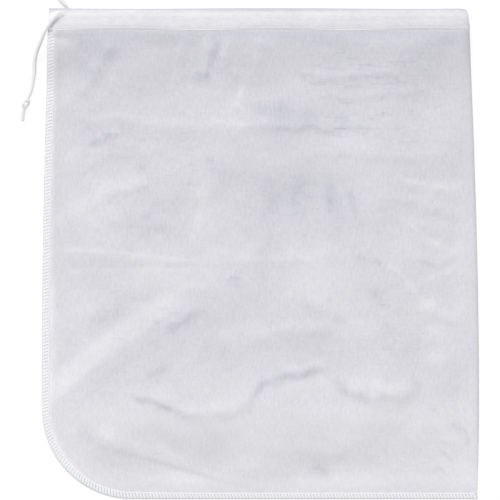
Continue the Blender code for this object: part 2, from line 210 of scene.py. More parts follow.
def put_tube(name, path, wide, high, sides, material, steady=None):
    """A tube: each point is the path, plus wide times a cosine to its side, plus high times a sine upright.

    The side is level, or keeps to the steady heading given. Wide and high are one number or one for each point."""
    heading = unit(np.gradient(path, axis=0))
    if steady is None:
        side = np.cross(heading, (0.0, 0.0, 1.0))
    else:
        steady = np.broadcast_to(np.asarray(steady, float), path.shape)
        side = steady - (steady * heading).sum(1, keepdims=True) * heading
    side = unit(side)
    upright = np.cross(side, heading)
    turn = ring_turn(sides)
    spokes = (wide * np.cos(turn))[..., None] * side[:, None] + (high * np.sin(turn))[..., None] * upright[:, None]
    return put_rings(name, path[:, None] + spokes, lengths_along(path), turn * np.max(wide), material)


print("a path from 0 to 1 m in steps of 0.1 m has", len(smooth_path([(0, 0, 0), (1, 0, 0)], 0.1)), "points")

# %% [markdown]
# The finishes are node trees. Each helper here adds one node and hands back its output, so that a formula reads as
# nested calls and not as a long list of links.

# %% Node helpers
def new_group(name, inputs, outputs):
    """An empty shader group: inputs by name, kind and start value, outputs by name."""
    group = bpy.data.node_groups.new(name, "ShaderNodeTree")
    for socket, kind, value in inputs:
        made = group.interface.new_socket(socket, in_out="INPUT", socket_type=kind)
        if value is not None:
            made.default_value = value
    for socket in outputs:
        group.interface.new_socket(socket, in_out="OUTPUT", socket_type="NodeSocketFloat")
    return group, group.nodes.new("NodeGroupInput"), group.nodes.new("NodeGroupOutput")


def math_node(tree, operation, *values, clamp=False):
    """A Math node; each value is a socket or a number."""
    node = tree.nodes.new("ShaderNodeMath")
    node.operation = operation
    node.use_clamp = clamp
    for place, value in enumerate(values):
        if isinstance(value, (int, float)):
            node.inputs[place].default_value = value
        else:
            tree.links.new(value, node.inputs[place])
    return node.outputs[0]


def step_node(tree, value, low, high, to_low=0.0, to_high=1.0):
    """A smooth Map Range from one span of values to another."""
    node = tree.nodes.new("ShaderNodeMapRange")
    node.interpolation_type = "SMOOTHSTEP"
    tree.links.new(value, node.inputs["Value"])
    for socket, number in zip(("From Min", "From Max", "To Min", "To Max"), (low, high, to_low, to_high)):
        node.inputs[socket].default_value = number
    return node.outputs["Result"]


def noise_node(tree, place, scale, detail, distortion=0.0):
    """A Noise Texture read at a place."""
    node = tree.nodes.new("ShaderNodeTexNoise")
    tree.links.new(place, node.inputs["Vector"])
    for socket, number in (("Scale", scale), ("Detail", detail), ("Distortion", distortion)):
        node.inputs[socket].default_value = number
    return node.outputs["Fac"]


def scaled_node(tree, place, scale):
    """A place scaled by its own number along each axis."""
    node = tree.nodes.new("ShaderNodeMapping")
    node.inputs["Scale"].default_value = scale
    tree.links.new(place, node.inputs["Vector"])
    return node.outputs["Vector"]


def split_node(tree, place):
    """The first and the second number of a place."""
    node = tree.nodes.new("ShaderNodeSeparateXYZ")
    tree.links.new(place, node.inputs[0])
    return node.outputs["X"], node.outputs["Y"]


print("node helpers", [helper.__name__ for helper in (math_node, step_node, noise_node, scaled_node, split_node)])

# %% [markdown]
# Mesh cloth is knitted in columns, called wales, with rows of small openings between them. One node group makes
# that pattern from the cloth's own UV map, in metres, so that the openings have the same size on every piece.
# The openings follow the product of two waves, which staggers them from row to row as in a tricot net.

# %% The knitted net
SWAY_SCALE, SWAY = 55.0, 0.0016
HOLE_EDGES = (0.35, 0.85)
ROW_HEIGHT = 0.7
STREAK_SCALES = (640.0, 200.0, 1.0)
GRAIN_SCALE = 620.0
CRINKLE_SCALES, CRINKLE_TWIST, CRINKLE_EDGES = (70.0, 400.0, 1.0), 0.7, (0.53, 0.8)


def build_net_group():
    """Wales and openings: height is the higher of the wale and row waves, holes where their product is high.

    Streak, grain and crinkle are noise: drawn out along the wales, even, and drawn out across them."""
    group, given, result = new_group(
        "knitted_net",
        [("Place", "NodeSocketVector", None), ("Wale", "NodeSocketFloat", 0.0012), ("Row", "NodeSocketFloat", 0.001)],
        ("Height", "Hole", "Streak", "Grain", "Crinkle"),
    )

    def calc(operation, *values):
        return math_node(group, operation, *values)

    place = given.outputs["Place"]
    across, along = split_node(group, place)
    sway = calc("MULTIPLY", calc("SUBTRACT", noise_node(group, place, SWAY_SCALE, 1.0), 0.5), SWAY)
    across = calc("ADD", across, sway)
    wale = calc("MULTIPLY", calc("DIVIDE", across, given.outputs["Wale"]), math.pi)
    row = calc("MULTIPLY", calc("DIVIDE", along, given.outputs["Row"]), math.pi)
    product = calc("MULTIPLY", calc("SINE", wale), calc("SINE", row))
    ridge, cross = (calc("ABSOLUTE", calc("COSINE", wave)) for wave in (wale, row))
    crinkle = noise_node(group, scaled_node(group, place, CRINKLE_SCALES), 1.0, 2.0, CRINKLE_TWIST)
    for socket, value in (
        ("Height", calc("MAXIMUM", ridge, calc("MULTIPLY", cross, ROW_HEIGHT))),
        ("Hole", step_node(group, calc("ABSOLUTE", product), *HOLE_EDGES)),
        ("Streak", noise_node(group, scaled_node(group, place, STREAK_SCALES), 1.0, 2.0)),
        ("Grain", noise_node(group, place, GRAIN_SCALE, 2.0)),
        ("Crinkle", step_node(group, crinkle, *CRINKLE_EDGES)),
    ):
        group.links.new(value, result.inputs[socket])
    return group


net_group = build_net_group()
print("group", net_group.name, [s.name for s in net_group.interface.items_tree])

# %% [markdown]
# The bag's cloth is sheer: light falls through the openings, so its alpha drops there. The colour is a cool white
# with faint streaks along the wales. The casing uses the same net, laid double, so it is whiter and less open.

# %% Cloth finishes
ROUGH, SMOOTHER = 0.9, 0.7
WALE, ROW = 0.0008, 0.0007
STREAK_SHARE, GRAIN_SHARE, HOLE_SHADE = 0.44, 0.4, 0.1
CLOTH_BUMP = (0.3, 0.0001)


def patterned(name, group):
    """A new material whose pattern group reads the UV map. Returns the material, its tree and the group's node."""
    made = bpy.data.materials.new(name)
    made.use_nodes = True
    tree = made.node_tree
    place = tree.nodes.new("ShaderNodeUVMap")
    place.uv_map = "cloth"
    pattern = tree.nodes.new("ShaderNodeGroup")
    pattern.node_tree = group
    tree.links.new(place.outputs["UV"], pattern.inputs["Place"])
    return made, tree, pattern


def dress(tree, colours, share, rough, height, bump, sheen, shine):
    """Colour from deep to pale by a share, a roughness, and a bump of a strength and a depth from a height."""
    surface = tree.nodes["Principled BSDF"]
    tone = tree.nodes.new("ShaderNodeMix")
    tone.data_type = "RGBA"
    tone.inputs["A"].default_value, tone.inputs["B"].default_value = ((*colour, 1) for colour in colours)
    tree.links.new(share, tone.inputs["Factor"])
    tree.links.new(tone.outputs["Result"], surface.inputs["Base Color"])
    tree.links.new(rough, surface.inputs["Roughness"])
    raised = tree.nodes.new("ShaderNodeBump")
    raised.inputs["Strength"].default_value, raised.inputs["Distance"].default_value = bump
    tree.links.new(height, raised.inputs["Height"])
    tree.links.new(raised.outputs["Normal"], surface.inputs["Normal"])
    surface.inputs["Sheen Weight"].default_value = sheen
    surface.inputs["Specular IOR Level"].default_value = shine
    return surface


def cloth_material(name, deep, pale, open_alpha, solid_alpha):
    """A knitted cloth: colour runs from deep to pale with its tone and streaks, alpha follows the openings.

    Tone on the points: painted light where the cloth stands up, painted shade in its creases, paler where it lies
    double."""
    made, tree, net = patterned(name, net_group)
    net.inputs["Wale"].default_value, net.inputs["Row"].default_value = WALE, ROW

    def calc(operation, *values, **options):
        return math_node(tree, operation, *values, **options)

    def stored(measure):
        node = tree.nodes.new("ShaderNodeAttribute")
        node.attribute_name = measure
        return node.outputs["Fac"]

    streaks = calc("MULTIPLY", calc("SUBTRACT", net.outputs["Streak"], 0.5), STREAK_SHARE)
    grain = calc("MULTIPLY", calc("SUBTRACT", net.outputs["Grain"], 0.5), GRAIN_SHARE)
    lit = calc("ADD", stored("tone"), calc("ADD", streaks, grain))
    knit = calc("MULTIPLY", net.outputs["Hole"], HOLE_SHADE)
    # Fine crinkles darken the colour: painted shade in the cloth's small creases.
    crinkle_shade = calc("MULTIPLY", net.outputs["Crinkle"], stored("crinkle"))
    share = calc("SUBTRACT", lit, calc("ADD", knit, crinkle_shade), clamp=True)
    height = net.outputs["Height"]
    rough = step_node(tree, height, 0.0, 1.0, ROUGH, SMOOTHER)
    surface = dress(tree, (deep, pale), share, rough, height, CLOTH_BUMP, sheen=0.08, shine=0.25)
    tree.links.new(step_node(tree, net.outputs["Hole"], 0.0, 1.0, solid_alpha, open_alpha), surface.inputs["Alpha"])
    return made


mesh_finish = cloth_material("sheer_mesh", (0.566, 0.559, 0.616), (0.907, 0.896, 0.907), 0.8, 0.98)
casing_finish = cloth_material("double_mesh", (0.58, 0.578, 0.62), (0.955, 0.945, 0.955), 0.94, 1.0)
print("cloth finishes", mesh_finish.name, casing_finish.name)

# %% [markdown]
# Thread and cord are both twisted or braided fibre. One group gives fine slanted fibre lines from the piece's UV map;
# the cord wears them over a braid that is real geometry. The casing's stitches look greyer than the seam's on the
# photograph, so that thread has a finish of its own.

# %% Thread and cord finishes
FUZZ_SCALE = 900.0
FIBRE_EDGES = (0.2, 0.8)
FIBRE_BUMP = 0.5
THREAD_PITCH, THREAD_DEPTH = 0.0006, 0.00005
CORD_PITCH, CORD_DEPTH = 0.0004, 0.00003


def build_fibre_group():
    """Slanted lines: a wave of the distance along plus the distance around, broken by noise."""
    group, given, result = new_group(
        "fibre_lines", [("Place", "NodeSocketVector", None), ("Pitch", "NodeSocketFloat", 0.0006)], ("Height", "Tone")
    )
    place = given.outputs["Place"]
    slant = math_node(group, "ADD", *split_node(group, place))
    wave = math_node(group, "MULTIPLY", math_node(group, "DIVIDE", slant, given.outputs["Pitch"]), 2 * math.pi)
    ridge = math_node(group, "MULTIPLY_ADD", math_node(group, "SINE", wave), 0.5, 0.5)
    fuzz = noise_node(group, place, FUZZ_SCALE, 3.0)
    group.links.new(ridge, result.inputs["Height"])
    group.links.new(math_node(group, "MULTIPLY", math_node(group, "ADD", fuzz, ridge), 0.5), result.inputs["Tone"])
    return group


fibre_group = build_fibre_group()


def fibre_material(name, deep, pale, pitch, depth):
    """Twisted fibre: colour from deep to pale and bump from the slanted lines."""
    made, tree, fibre = patterned(name, fibre_group)
    fibre.inputs["Pitch"].default_value = pitch
    share = step_node(tree, fibre.outputs["Tone"], *FIBRE_EDGES)
    rough = step_node(tree, fibre.outputs["Tone"], *FIBRE_EDGES, ROUGH, SMOOTHER)
    dress(tree, (deep, pale), share, rough, fibre.outputs["Height"], (FIBRE_BUMP, depth), sheen=0.1, shine=0.3)
    return made


thread_finish, casing_thread_finish = (
    fibre_material(name, deep, pale, THREAD_PITCH, THREAD_DEPTH)
    for name, deep, pale in (
        ("white_thread", (0.87, 0.87, 0.89), (0.96, 0.96, 0.97)),
        ("casing_thread", (0.67, 0.67, 0.70), (0.78, 0.78, 0.81)),
    )
)
cord_finish = fibre_material("white_cord", (0.81, 0.81, 0.815), (0.92, 0.92, 0.915), CORD_PITCH, CORD_DEPTH)
print("fibre finishes", thread_finish.name, casing_thread_finish.name, cord_finish.name)

# %% [markdown]
# The bag is one sheet folded along its right side, so it has a seamed edge with a big round corner on the left and a
# smooth fold on the right. A box can't tell how round a corner is or how a side bows, so these sizes were measured on
# the photograph. The frame's solid follows the same lines, apart from the fold side, which is drawn closer here.

# %% Outline
CORNER_RADIUS = 0.0655
BELLY_ABOVE_CORNER = 0.009
LEFT_FLARE, RIGHT_FLARE, FOOT_FLARE = 0.005, 0.009, 0.0012
SIDE_EASE, SIDE_POWER = 0.0018, 1.8
HEM_SLANT = 0.0045
MESH_THICKNESS = 0.0005
BEND_RADIUS = (FRONT_Z - BACK_Z) / 2
CORNER_X, CORNER_Y = EDGE_LEFT + CORNER_RADIUS, EDGE_BOTTOM + CORNER_RADIUS
BELLY_LEVEL = CORNER_Y + BELLY_ABOVE_CORNER


def rise_above_belly(y):
    """Share of the way from the widest level up to the casing."""
    return np.clip((y - BELLY_LEVEL) / (CASING_LOW - BELLY_LEVEL), 0, 1)


def left_edge(y):
    """The seamed edge: a shallow parabola above the corner's round, a circle within it."""
    corner = CORNER_X - np.sqrt(np.maximum(CORNER_RADIUS**2 - np.minimum(y - CORNER_Y, 0) ** 2, 0))
    return corner + LEFT_FLARE * rise_above_belly(y) ** 2


def right_edge(y):
    """The outside of the fold: drawn in by powers of the rise and fall from the widest level, slanted at the hem."""
    down = np.clip((BELLY_LEVEL - y) / (BELLY_LEVEL - EDGE_BOTTOM), 0, 1)
    hem = np.clip((y - CASING_LOW) / (MOUTH_TOP - CASING_LOW), 0, 1)
    drawn_in = (RIGHT_FLARE - SIDE_EASE) * rise_above_belly(y) ** SIDE_POWER
    return BELLY_RIGHT - drawn_in - FOOT_FLARE * down**2 - HEM_SLANT * hem**2


def hem_bend(y):
    """Where the casing's straight walls end and its bend round the fold begins."""
    return right_edge(y) - MESH_THICKNESS / 2 - BEND_RADIUS


def seam_inset(x, y):
    """Distance in from the seamed edge, round the corner too."""
    in_corner = (x < CORNER_X) & (y < CORNER_Y)
    corner = CORNER_RADIUS - np.hypot(x - CORNER_X, y - CORNER_Y)
    straight = np.minimum(x - left_edge(y), y - EDGE_BOTTOM)
    return np.where(in_corner, corner, straight)


print("bag", round(float(right_edge(BELLY_LEVEL) - left_edge(BELLY_LEVEL)), 4), "m wide at its belly")

# %% [markdown]
# Lying on its back, the bag is two layers, and each is a height over the floor: low along the seam, higher in the
# belly, and rising into the casing at the mouth. Smooth steps blend one height into the next, as slack cloth does.

# %% Heights of the two layers
CLEARANCE = 0.0003
LAYER_OFFSET = MESH_THICKNESS / 2 + CLEARANCE / 2
SEAM_Z = looper_low[2] - CLEARANCE / 2
SEAM_TOP_Z, BELLY_Z, FOLD_Z = 0.0096, 0.0095, 0.0056
SEAM_FLAT, SEAM_DESCENT, SEAM_TOP_FLAT = 0.006, 0.045, 0.0065
FRONT_RISE, BACK_RISE = 0.05, 0.012
FOLD_FLAT, FOLD_BLEND = 0.006, 0.07
FRONT_TOP_BLEND, BACK_TOP_BLEND = 0.05, 0.025
SEAM_TOP_BLEND, TOP_BLEND_REACH = 0.006, 0.06
LIP_SETTLE = 0.0008


def seam_middle(y):
    """Height between the two layers in the seam, falling from the casing to the floor."""
    return mixed(SEAM_Z, SEAM_TOP_Z, smooth((y - CASING_LOW + SEAM_DESCENT) / (SEAM_DESCENT - SEAM_TOP_FLAT)))


def lift_to_casing(y, inset, length):
    """Share of the rise into the casing, quick beside the seam and gentle elsewhere."""
    length = mixed(SEAM_TOP_BLEND, length, smooth((inset - SEAM_FLAT) / TOP_BLEND_REACH))
    return smooth((y - CASING_LOW + length) / (length - LIP_SETTLE)) * smooth(inset / SEAM_FLAT)


def front_height(x, y):
    """Middle of the front layer: seam, belly and fold blended, then lifted into the casing."""
    inset = seam_inset(x, y)
    belly = mixed(seam_middle(y) + LAYER_OFFSET, BELLY_Z, smooth((inset - SEAM_FLAT) / FRONT_RISE))
    foot = smooth((y - EDGE_BOTTOM - SEAM_FLAT) / FRONT_RISE)
    fold = mixed(SEAM_Z + LAYER_OFFSET, FOLD_Z, foot)
    body = mixed(fold, belly, smooth((right_edge(y) - FOLD_FLAT - x) / FOLD_BLEND))
    return mixed(body, FRONT_Z, lift_to_casing(y, inset, FRONT_TOP_BLEND))


def back_height(x, y):
    """Middle of the back layer: flat on the floor, lifted over the seam's threads and into the casing."""
    inset = seam_inset(x, y)
    seam = seam_middle(y) - LAYER_OFFSET
    flat = mixed(seam, MESH_THICKNESS / 2, smooth((inset - SEAM_FLAT) / BACK_RISE))
    return mixed(flat, BACK_Z, lift_to_casing(y, inset, BACK_TOP_BLEND))


def fold_round(y):
    """Centre across, radius and centre height of the fold at each level."""
    front, back = front_height(right_edge(y), y), back_height(right_edge(y), y)
    radius = (front - back) / 2
    return right_edge(y) - MESH_THICKNESS / 2 - radius, radius, (front + back) / 2


print("front layer", round(float(front_height(0.0, 0.0)) * 1000, 2), "mm above the floor in the middle")

# %% [markdown]
# The drawstring is a soft braided cord, 3 mm thick. Its loose ends follow the routes of the frame's solids, written as
# places across and along from the exit with a share of the casing's height. The braid is modelled: two sets of strands
# wind round in opposite ways and the higher of the two shows.

# %% Cord routes and braid
FRONT_TAIL = [
    (-0.0042, -0.0014, 1.055),
    (-0.0080, -0.0060, 1.080),
    (-0.0109, -0.0107, 1.015),
    (-0.0137, -0.0150, 0.880),
    (-0.0166, -0.0212, 0.640),
    (-0.0197, -0.0285, 0.370),
    (-0.0214, -0.0357, 0.170),
    (-0.0218, -0.0430, 0.050),
    (-0.0229, -0.0502, 0.010),
    (-0.0243, -0.0568, 0.035),
    (-0.0262, -0.0612, 0.085),
]
FRONT_KNOT = (-0.0280, -0.0659)
FRONT_STUB = [(-0.0294, -0.0706, 0.085), (-0.0302, -0.0743, 0.030), (-0.0304, -0.0789, 0.010)]
BACK_TAIL = [
    (-0.0040, 0.0002, 0.80),
    (-0.0075, 0.0013, 0.29),
    (-0.0100, 0.0031, 0.10),
    (-0.0122, 0.0051, 0.04),
    (-0.0145, 0.0075, 0.04),
    (-0.0180, 0.0114, 0.04),
    (-0.0228, 0.0154, 0.04),
    (-0.0288, 0.0185, 0.04),
    (-0.0355, 0.0204, 0.04),
    (-0.0425, 0.0213, 0.13),
    (-0.0495, 0.0215, 0.66),
    (-0.0540, 0.0214, 1.20),
]
BACK_KNOT = (-0.0590, 0.0212)
BACK_STUB = [(-0.0639, 0.0208, 1.20), (-0.0680, 0.0202, 0.40), (-0.0722, 0.0192, 0.13)]
STRANDS = 6
BRAID_DEPTH = 0.07


def laid(points, exit_x, height):
    """Places on a loose end: across from the exit, along from the cord, and a share of the casing's height."""
    across, along, share = np.array(points, float).T
    return np.stack([exit_x + across, CORD_Y + along, mixed(CORD_RADIUS, height, share)], -1)


def braid_radius(along, turn, radius):
    """The cord's radius less a groove: the deeper, the lower the higher of two opposite helical waves."""
    lay = STRANDS / CORD_RADIUS
    one = np.cos(STRANDS * turn[None, :] + lay * along[:, None])
    two = np.cos(STRANDS * turn[None, :] - lay * along[:, None])
    return radius * (1 - BRAID_DEPTH * (1 - np.maximum(one, two)) / 2)


def put_braid(name, path, sides, radius=CORD_RADIUS, ends=1.0):
    """A braided cord along a path; ends below 1 draws both tips in to that share of the radius."""
    along = lengths_along(path)
    tip = np.minimum(along, along[-1] - along) / CORD_RADIUS
    round_tip = np.sqrt(np.clip(1 - (1 - np.clip(tip, 0, 1)) ** 2, 0, 1))
    radius = braid_radius(along, ring_turn(sides), radius) * mixed(ends, 1.0, round_tip)[:, None]
    return put_tube(name, path, radius, radius, sides, cord_finish)


print("a braid of", 2 * STRANDS, "strands, grooves", round(BRAID_DEPTH * CORD_RADIUS * 1000, 3), "mm deep")

# %% [markdown]
# An overhand knot pulled tight is a trefoil: the cord goes twice round the middle while it passes three times
# over and under. The two loose stretches run into its sides.

# %% Knots
KNOT_LENGTH, KNOT_WIDTH, KNOT_HEIGHT = 0.0088, 0.0064, 0.006
KNOT_CORD = 0.00145
KNOT_POINTS = 160
CORD_SIDES, LOOSE_SIDES = 24, 32


def knot_path(centre, heading):
    """A trefoil: twice round while the distance out swings three times, squeezed to the knot's size and turned."""
    t = np.linspace(0, 2 * np.pi, KNOT_POINTS)
    out = 2 + np.cos(3 * t)
    along = (KNOT_LENGTH / 2 - KNOT_CORD) / 3 * out * np.cos(2 * t)
    side = (KNOT_WIDTH / 2 - KNOT_CORD) / 3 * out * np.sin(2 * t)
    up = (KNOT_HEIGHT / 2 - KNOT_CORD) * np.sin(3 * t)
    cosine, sine = math.cos(heading), math.sin(heading)
    x = centre[0] + along * cosine - side * sine
    y = centre[1] + along * sine + side * cosine
    return np.stack([x, y, centre[2] + up], -1)


def put_knot(name, centre, place, toward):
    """The knot's braided tube, closed on itself, resting on the floor and pointing from its place to another."""
    heading = math.atan2(toward[1] - place[1], toward[0] - place[0])
    return put_braid(name, knot_path(centre, heading), CORD_SIDES, KNOT_CORD)


print("knot", KNOT_LENGTH * 1000, "by", KNOT_WIDTH * 1000, "by", KNOT_HEIGHT * 1000, "mm")

# %% [markdown]
# Each end of the drawstring slides by itself, so its four pieces ride on one body: the straight run inside the casing,
# the loose stretch, the knot and the stub. The run ends a hair short of the bend, where the casing turns the fold.

# %% Both cord ends
CORD_JOIN, CORD_LEAD, CORD_EASE = 0.0003, 0.0018, 0.00025
RUN_POINTS, KNOT_ENTRY_POINTS, PATH_STEP = 640, 9, 6
LOOSE_SPACING, STUB_SPACING = 0.0003, 0.00025
KNOT_ENTRY, STUB_START, STUB_TIP = 0.45, 0.5, 0.35
SOLID_BEND_X = BELLY_RIGHT - RIGHT_FLARE - MESH_THICKNESS / 2 - BEND_RADIUS
CORD_BEND_X = hem_bend(CORD_Y) - CORD_EASE


def end_pieces(side, run_high, exit_x, height, tail, knot, stub):
    """One end of the drawstring: the run in the casing, the loose end, its knot and its stub, on one body."""
    body = f"{side}_drawstring"
    level = np.array([exit_x, CORD_Y, height])
    run_end = (run_high[0] - SOLID_BEND_X + CORD_BEND_X, CORD_Y, height)
    run = put_braid(f"{side}_run_cord", np.linspace(level, run_end, RUN_POINTS), CORD_SIDES)
    start = level - (CORD_JOIN, 0, 0)
    loose = np.vstack([level - (CORD_LEAD, 0, 0), laid(tail, exit_x, height)])
    path = np.vstack([start, smooth_path(loose, LOOSE_SPACING)])
    knot_middle = np.array([exit_x + knot[0], CORD_Y + knot[1], KNOT_HEIGHT / 2])
    into_knot = mixed(path[-1], knot_middle, KNOT_ENTRY)
    path = np.vstack([path, np.linspace(path[-1], into_knot, KNOT_ENTRY_POINTS)[1:]])
    loose_cord = put_braid(f"{side}_loose_cord", path, LOOSE_SIDES)
    knot_piece = put_knot(f"{side}_knot_cord", knot_middle, knot, stub[0])
    stub_line = laid(stub, exit_x, height)
    stub_line = np.vstack([mixed(knot_middle, stub_line[0], STUB_START), stub_line])
    stub_piece = put_braid(f"{side}_stub_cord", smooth_path(stub_line, STUB_SPACING), LOOSE_SIDES, ends=STUB_TIP)
    for piece, node in (
        (run, f"drawstring_{side}_run"),
        (loose_cord, f"drawstring_{side}_tail"),
        (knot_piece, f"{side}_end_knot"),
        (stub_piece, f"{side}_end_stub"),
    ):
        join_frame(piece, body, node)


end_pieces("front", front_high, FRONT_EXIT, FRONT_Z, FRONT_TAIL, FRONT_KNOT, FRONT_STUB)
end_pieces("back", back_high, BACK_EXIT, BACK_Z, BACK_TAIL, BACK_KNOT, BACK_STUB)

# %% [markdown]
# Inside the fold the cord turns half a circle from the front run to the back one. It stays on the bag, so that both
# runs can slide straight. Here the path climbs straight up, where a level side has no heading, so the rings keep to
# the bag's own long direction.

# %% The bend in the fold
BEND_POINTS = 60
MIDDLE_Z = (FRONT_Z + BACK_Z) / 2


def put_bend():
    """A half circle of cord; its side is along the bag all the way and its spokes turn from there to the outside."""
    angle = np.linspace(0, np.pi, BEND_POINTS)
    cosine, sine, level = np.cos(angle), np.sin(angle), np.zeros_like(angle)
    path = np.stack([CORD_BEND_X + BEND_RADIUS * sine, level + CORD_Y, MIDDLE_Z + BEND_RADIUS * cosine], -1)
    side = np.array([0.0, 1.0, 0.0])
    outward = np.cross(np.stack([cosine, level, -sine], -1), side)
    along, turn = lengths_along(path), ring_turn(CORD_SIDES)
    radius = braid_radius(along, turn, CORD_RADIUS)
    spokes = np.cos(turn)[None, :, None] * side + np.sin(turn)[None, :, None] * outward[:, None]
    rings = path[:, None] + radius[..., None] * spokes
    return put_rings("fold_bend_cord", rings, along, turn * CORD_RADIUS, cord_finish, mirrored=True)


fold_bend = put_bend()
join_frame(fold_bend, "bag", "drawstring_fold_bend")
print("bend begins", round(float(CORD_BEND_X) * 1000, 1), "mm right of the middle")

# %% [markdown]
# The bag was folded in a packet and then smoothed out, so its front has soft packing creases across it, a few pulls
# from the casing and the rounded corner, and small crumples. Each crease is a line of a few points, read off the
# photograph, with a height and a width to either side. A cloth simulation would crease at random places; drawing
# the creases puts each where the real bag has it.

# %% Crease lines
MM = 0.001
CREASE_SPACING = 0.0015
CREASE_REACH = 3
CREASE_FADE = 0.25
UNEVEN, UNEVEN_TURN, UNEVEN_LEAST, UNEVEN_POINTS = 0.3, 23, 0.4, 80
# Each crease: points as picture columns and rows, height in mm, width on the lit side, width on the far side.
CREASES = [
    ([(122, 31), (98, 66), (74, 102)], 1.3, 6, 4),
    ([(176, 30), (182, 62), (178, 92)], 0.6, 4, 3),
    ([(203, 30), (206, 55), (200, 88)], 1.0, 4, 3),
    ([(232, 30), (230, 58), (238, 86)], 0.8, 5, 3),
    ([(262, 30), (258, 60), (266, 84)], 0.5, 5, 4),
    ([(282, 68), (330, 78), (380, 74), (430, 84)], 0.7, 4, 3),
    ([(300, 92), (350, 98), (410, 92), (455, 97)], 0.5, 4, 3),
    ([(66, 118), (130, 122), (190, 127), (240, 128)], 0.5, 7, 5),
    ([(196, 128), (250, 129), (310, 126), (392, 131)], 0.8, 7, 4),
    ([(84, 144), (104, 139), (127, 131)], 0.8, 4, 3),
    ([(150, 176), (210, 168), (300, 178), (372, 170)], 0.5, 9, 6),
    ([(56, 262), (140, 258), (240, 262), (330, 256), (390, 262)], 0.5, 9, 6),
    ([(53, 390), (95, 353), (135, 325), (162, 306), (190, 291)], 0.6, 9, 9),
    ([(160, 334), (182, 320), (204, 303)], 0.5, 4, 3),
    ([(78, 316), (102, 314), (128, 309)], 0.4, 5, 4),
    ([(118, 388), (150, 398), (176, 409), (205, 416), (240, 408), (266, 388)], 1.2, 6, 3),
    ([(262, 390), (280, 380), (304, 371), (334, 368)], 1.0, 6, 3),
    ([(340, 372), (352, 392), (385, 396), (418, 384)], 0.9, 5, 3),
    ([(82, 436), (114, 446), (166, 462), (240, 484)], 0.25, 5, 3),
    ([(230, 440), (300, 452), (380, 446)], 0.6, 8, 5),
    ([(378, 196), (420, 205), (470, 222)], 0.5, 5, 4),
    ([(384, 216), (425, 228), (472, 248)], 0.45, 5, 4),
    ([(392, 186), (430, 188), (472, 194)], 0.4, 5, 4),
    ([(432, 418), (448, 434), (466, 452)], 0.4, 5, 3),
    ([(418, 300), (444, 318), (474, 322)], 0.6, 6, 4),
    ([(225, 272), (236, 282), (250, 284)], 0.7, 4, 3),
    ([(300, 300), (345, 320), (372, 352)], 0.7, 7, 5),
    ([(100, 210), (150, 224), (200, 222)], 0.6, 8, 5),
    ([(62, 236), (88, 208), (122, 190), (160, 181)], 0.8, 6, 4),
    ([(60, 190), (84, 168), (120, 154), (170, 150)], 0.6, 6, 4),
    ([(206, 160), (201, 200), (197, 250)], 0.8, 6, 5),
    ([(246, 72), (242, 96), (232, 116)], 0.7, 5, 3),
    ([(404, 250), (432, 262), (466, 258)], 0.6, 4, 3),
    ([(436, 292), (430, 330), (438, 380)], 0.8, 7, 4),
    ([(345, 380), (372, 386), (404, 396), (420, 372)], 0.8, 6, 4),
    ([(96, 300), (140, 290), (196, 276)], 0.5, 8, 5),
    ([(180, 356), (230, 340), (300, 332), (360, 330)], 0.5, 9, 6),
    ([(250, 428), (310, 418), (380, 424), (440, 410)], 0.5, 9, 5),
    ([(286, 160), (340, 152), (420, 158), (460, 150)], 0.5, 6, 4),
]


def crease_height(x, y, points, height, lit, far, uneven=UNEVEN):
    """A ridge along a curve: a bell of the distance to it, wider on one side, fading out at both ends."""
    line = np.array([(*from_picture(*p), 0.0) for p in points])
    line = smooth_path(line, CREASE_SPACING)[:, :2]
    margin = CREASE_REACH * max(lit, far) * MM
    low, high = line.min(0) - margin, line.max(0) + margin
    near = (x > low[0]) & (x < high[0]) & (y > low[1]) & (y < high[1])
    gap = np.stack([x[near], y[near]], -1)[..., None, :] - line
    nearest = np.argmin((gap**2).sum(-1), -1)
    offset = np.take_along_axis(gap, nearest[..., None, None], -2)[..., 0, :]
    ahead = unit(np.gradient(line, axis=0))[nearest]
    upper = ahead[..., 0] * offset[..., 1] - ahead[..., 1] * offset[..., 0] > 0
    distance, width = np.linalg.norm(offset, axis=-1), np.where(upper, lit, far) * MM
    share = nearest / (len(line) - 1)
    fade = smooth(share / CREASE_FADE) * smooth((1 - share) / CREASE_FADE)
    waves = UNEVEN_TURN * (UNEVEN_LEAST + len(line) / UNEVEN_POINTS)
    fade = fade * (1 + uneven * np.sin(waves * share + points[0][0]))
    ridge = np.zeros_like(x)
    ridge[near] = height * MM * fade * np.exp(-((distance / width) ** 2))
    return ridge


print(len(CREASES), "creases, the highest", max(crease[1] for crease in CREASES), "mm")

# %% [markdown]
# Between the creases the cloth is never quite even. Many crossed waves of random heading give soft crumples, and a
# second use of them moves the drawn lines a little this way and that. All of it is held down where the cloth is sewn.

# %% Crumples and relief
# Each set of waves: seed, number of waves, shortest and longest wave, typical height.
WANDER_ACROSS, WANDER_ALONG = (41, 18, 0.012, 0.045, 0.0009), (43, 18, 0.012, 0.045, 0.0009)
BROAD_CRUMPLES, FINE_CRUMPLES = (5, 16, 0.04, 0.12, 0.0008), (11, 36, 0.012, 0.04, 0.00012)
SEAM_HOLD, FOLD_HOLD, CASING_HOLD, CASING_GAP = 0.018, 0.014, 0.012, 0.001


def crumple(x, y, seed, waves, shortest, longest, height):
    """Many crossed sine waves of random heading: the longer the wave, the higher, scaled to a typical height."""
    chance = np.random.default_rng(seed)
    length = np.exp(chance.uniform(np.log(shortest), np.log(longest), waves))
    angle = chance.uniform(0, np.pi, waves)
    start = chance.uniform(0, 2 * np.pi, waves)
    total = np.zeros_like(x)
    for size, lean, phase in zip(length, angle, start):
        total += size * np.sin(2 * np.pi * (x * np.cos(lean) + y * np.sin(lean)) / size + phase)
    return height * total / np.sqrt((length**2).sum() / 2)


def wander(x, y):
    """Places moved a little this way and that, so that nothing drawn on the cloth keeps an even edge."""
    return x + crumple(x, y, *WANDER_ACROSS), y + crumple(x, y, *WANDER_ALONG)


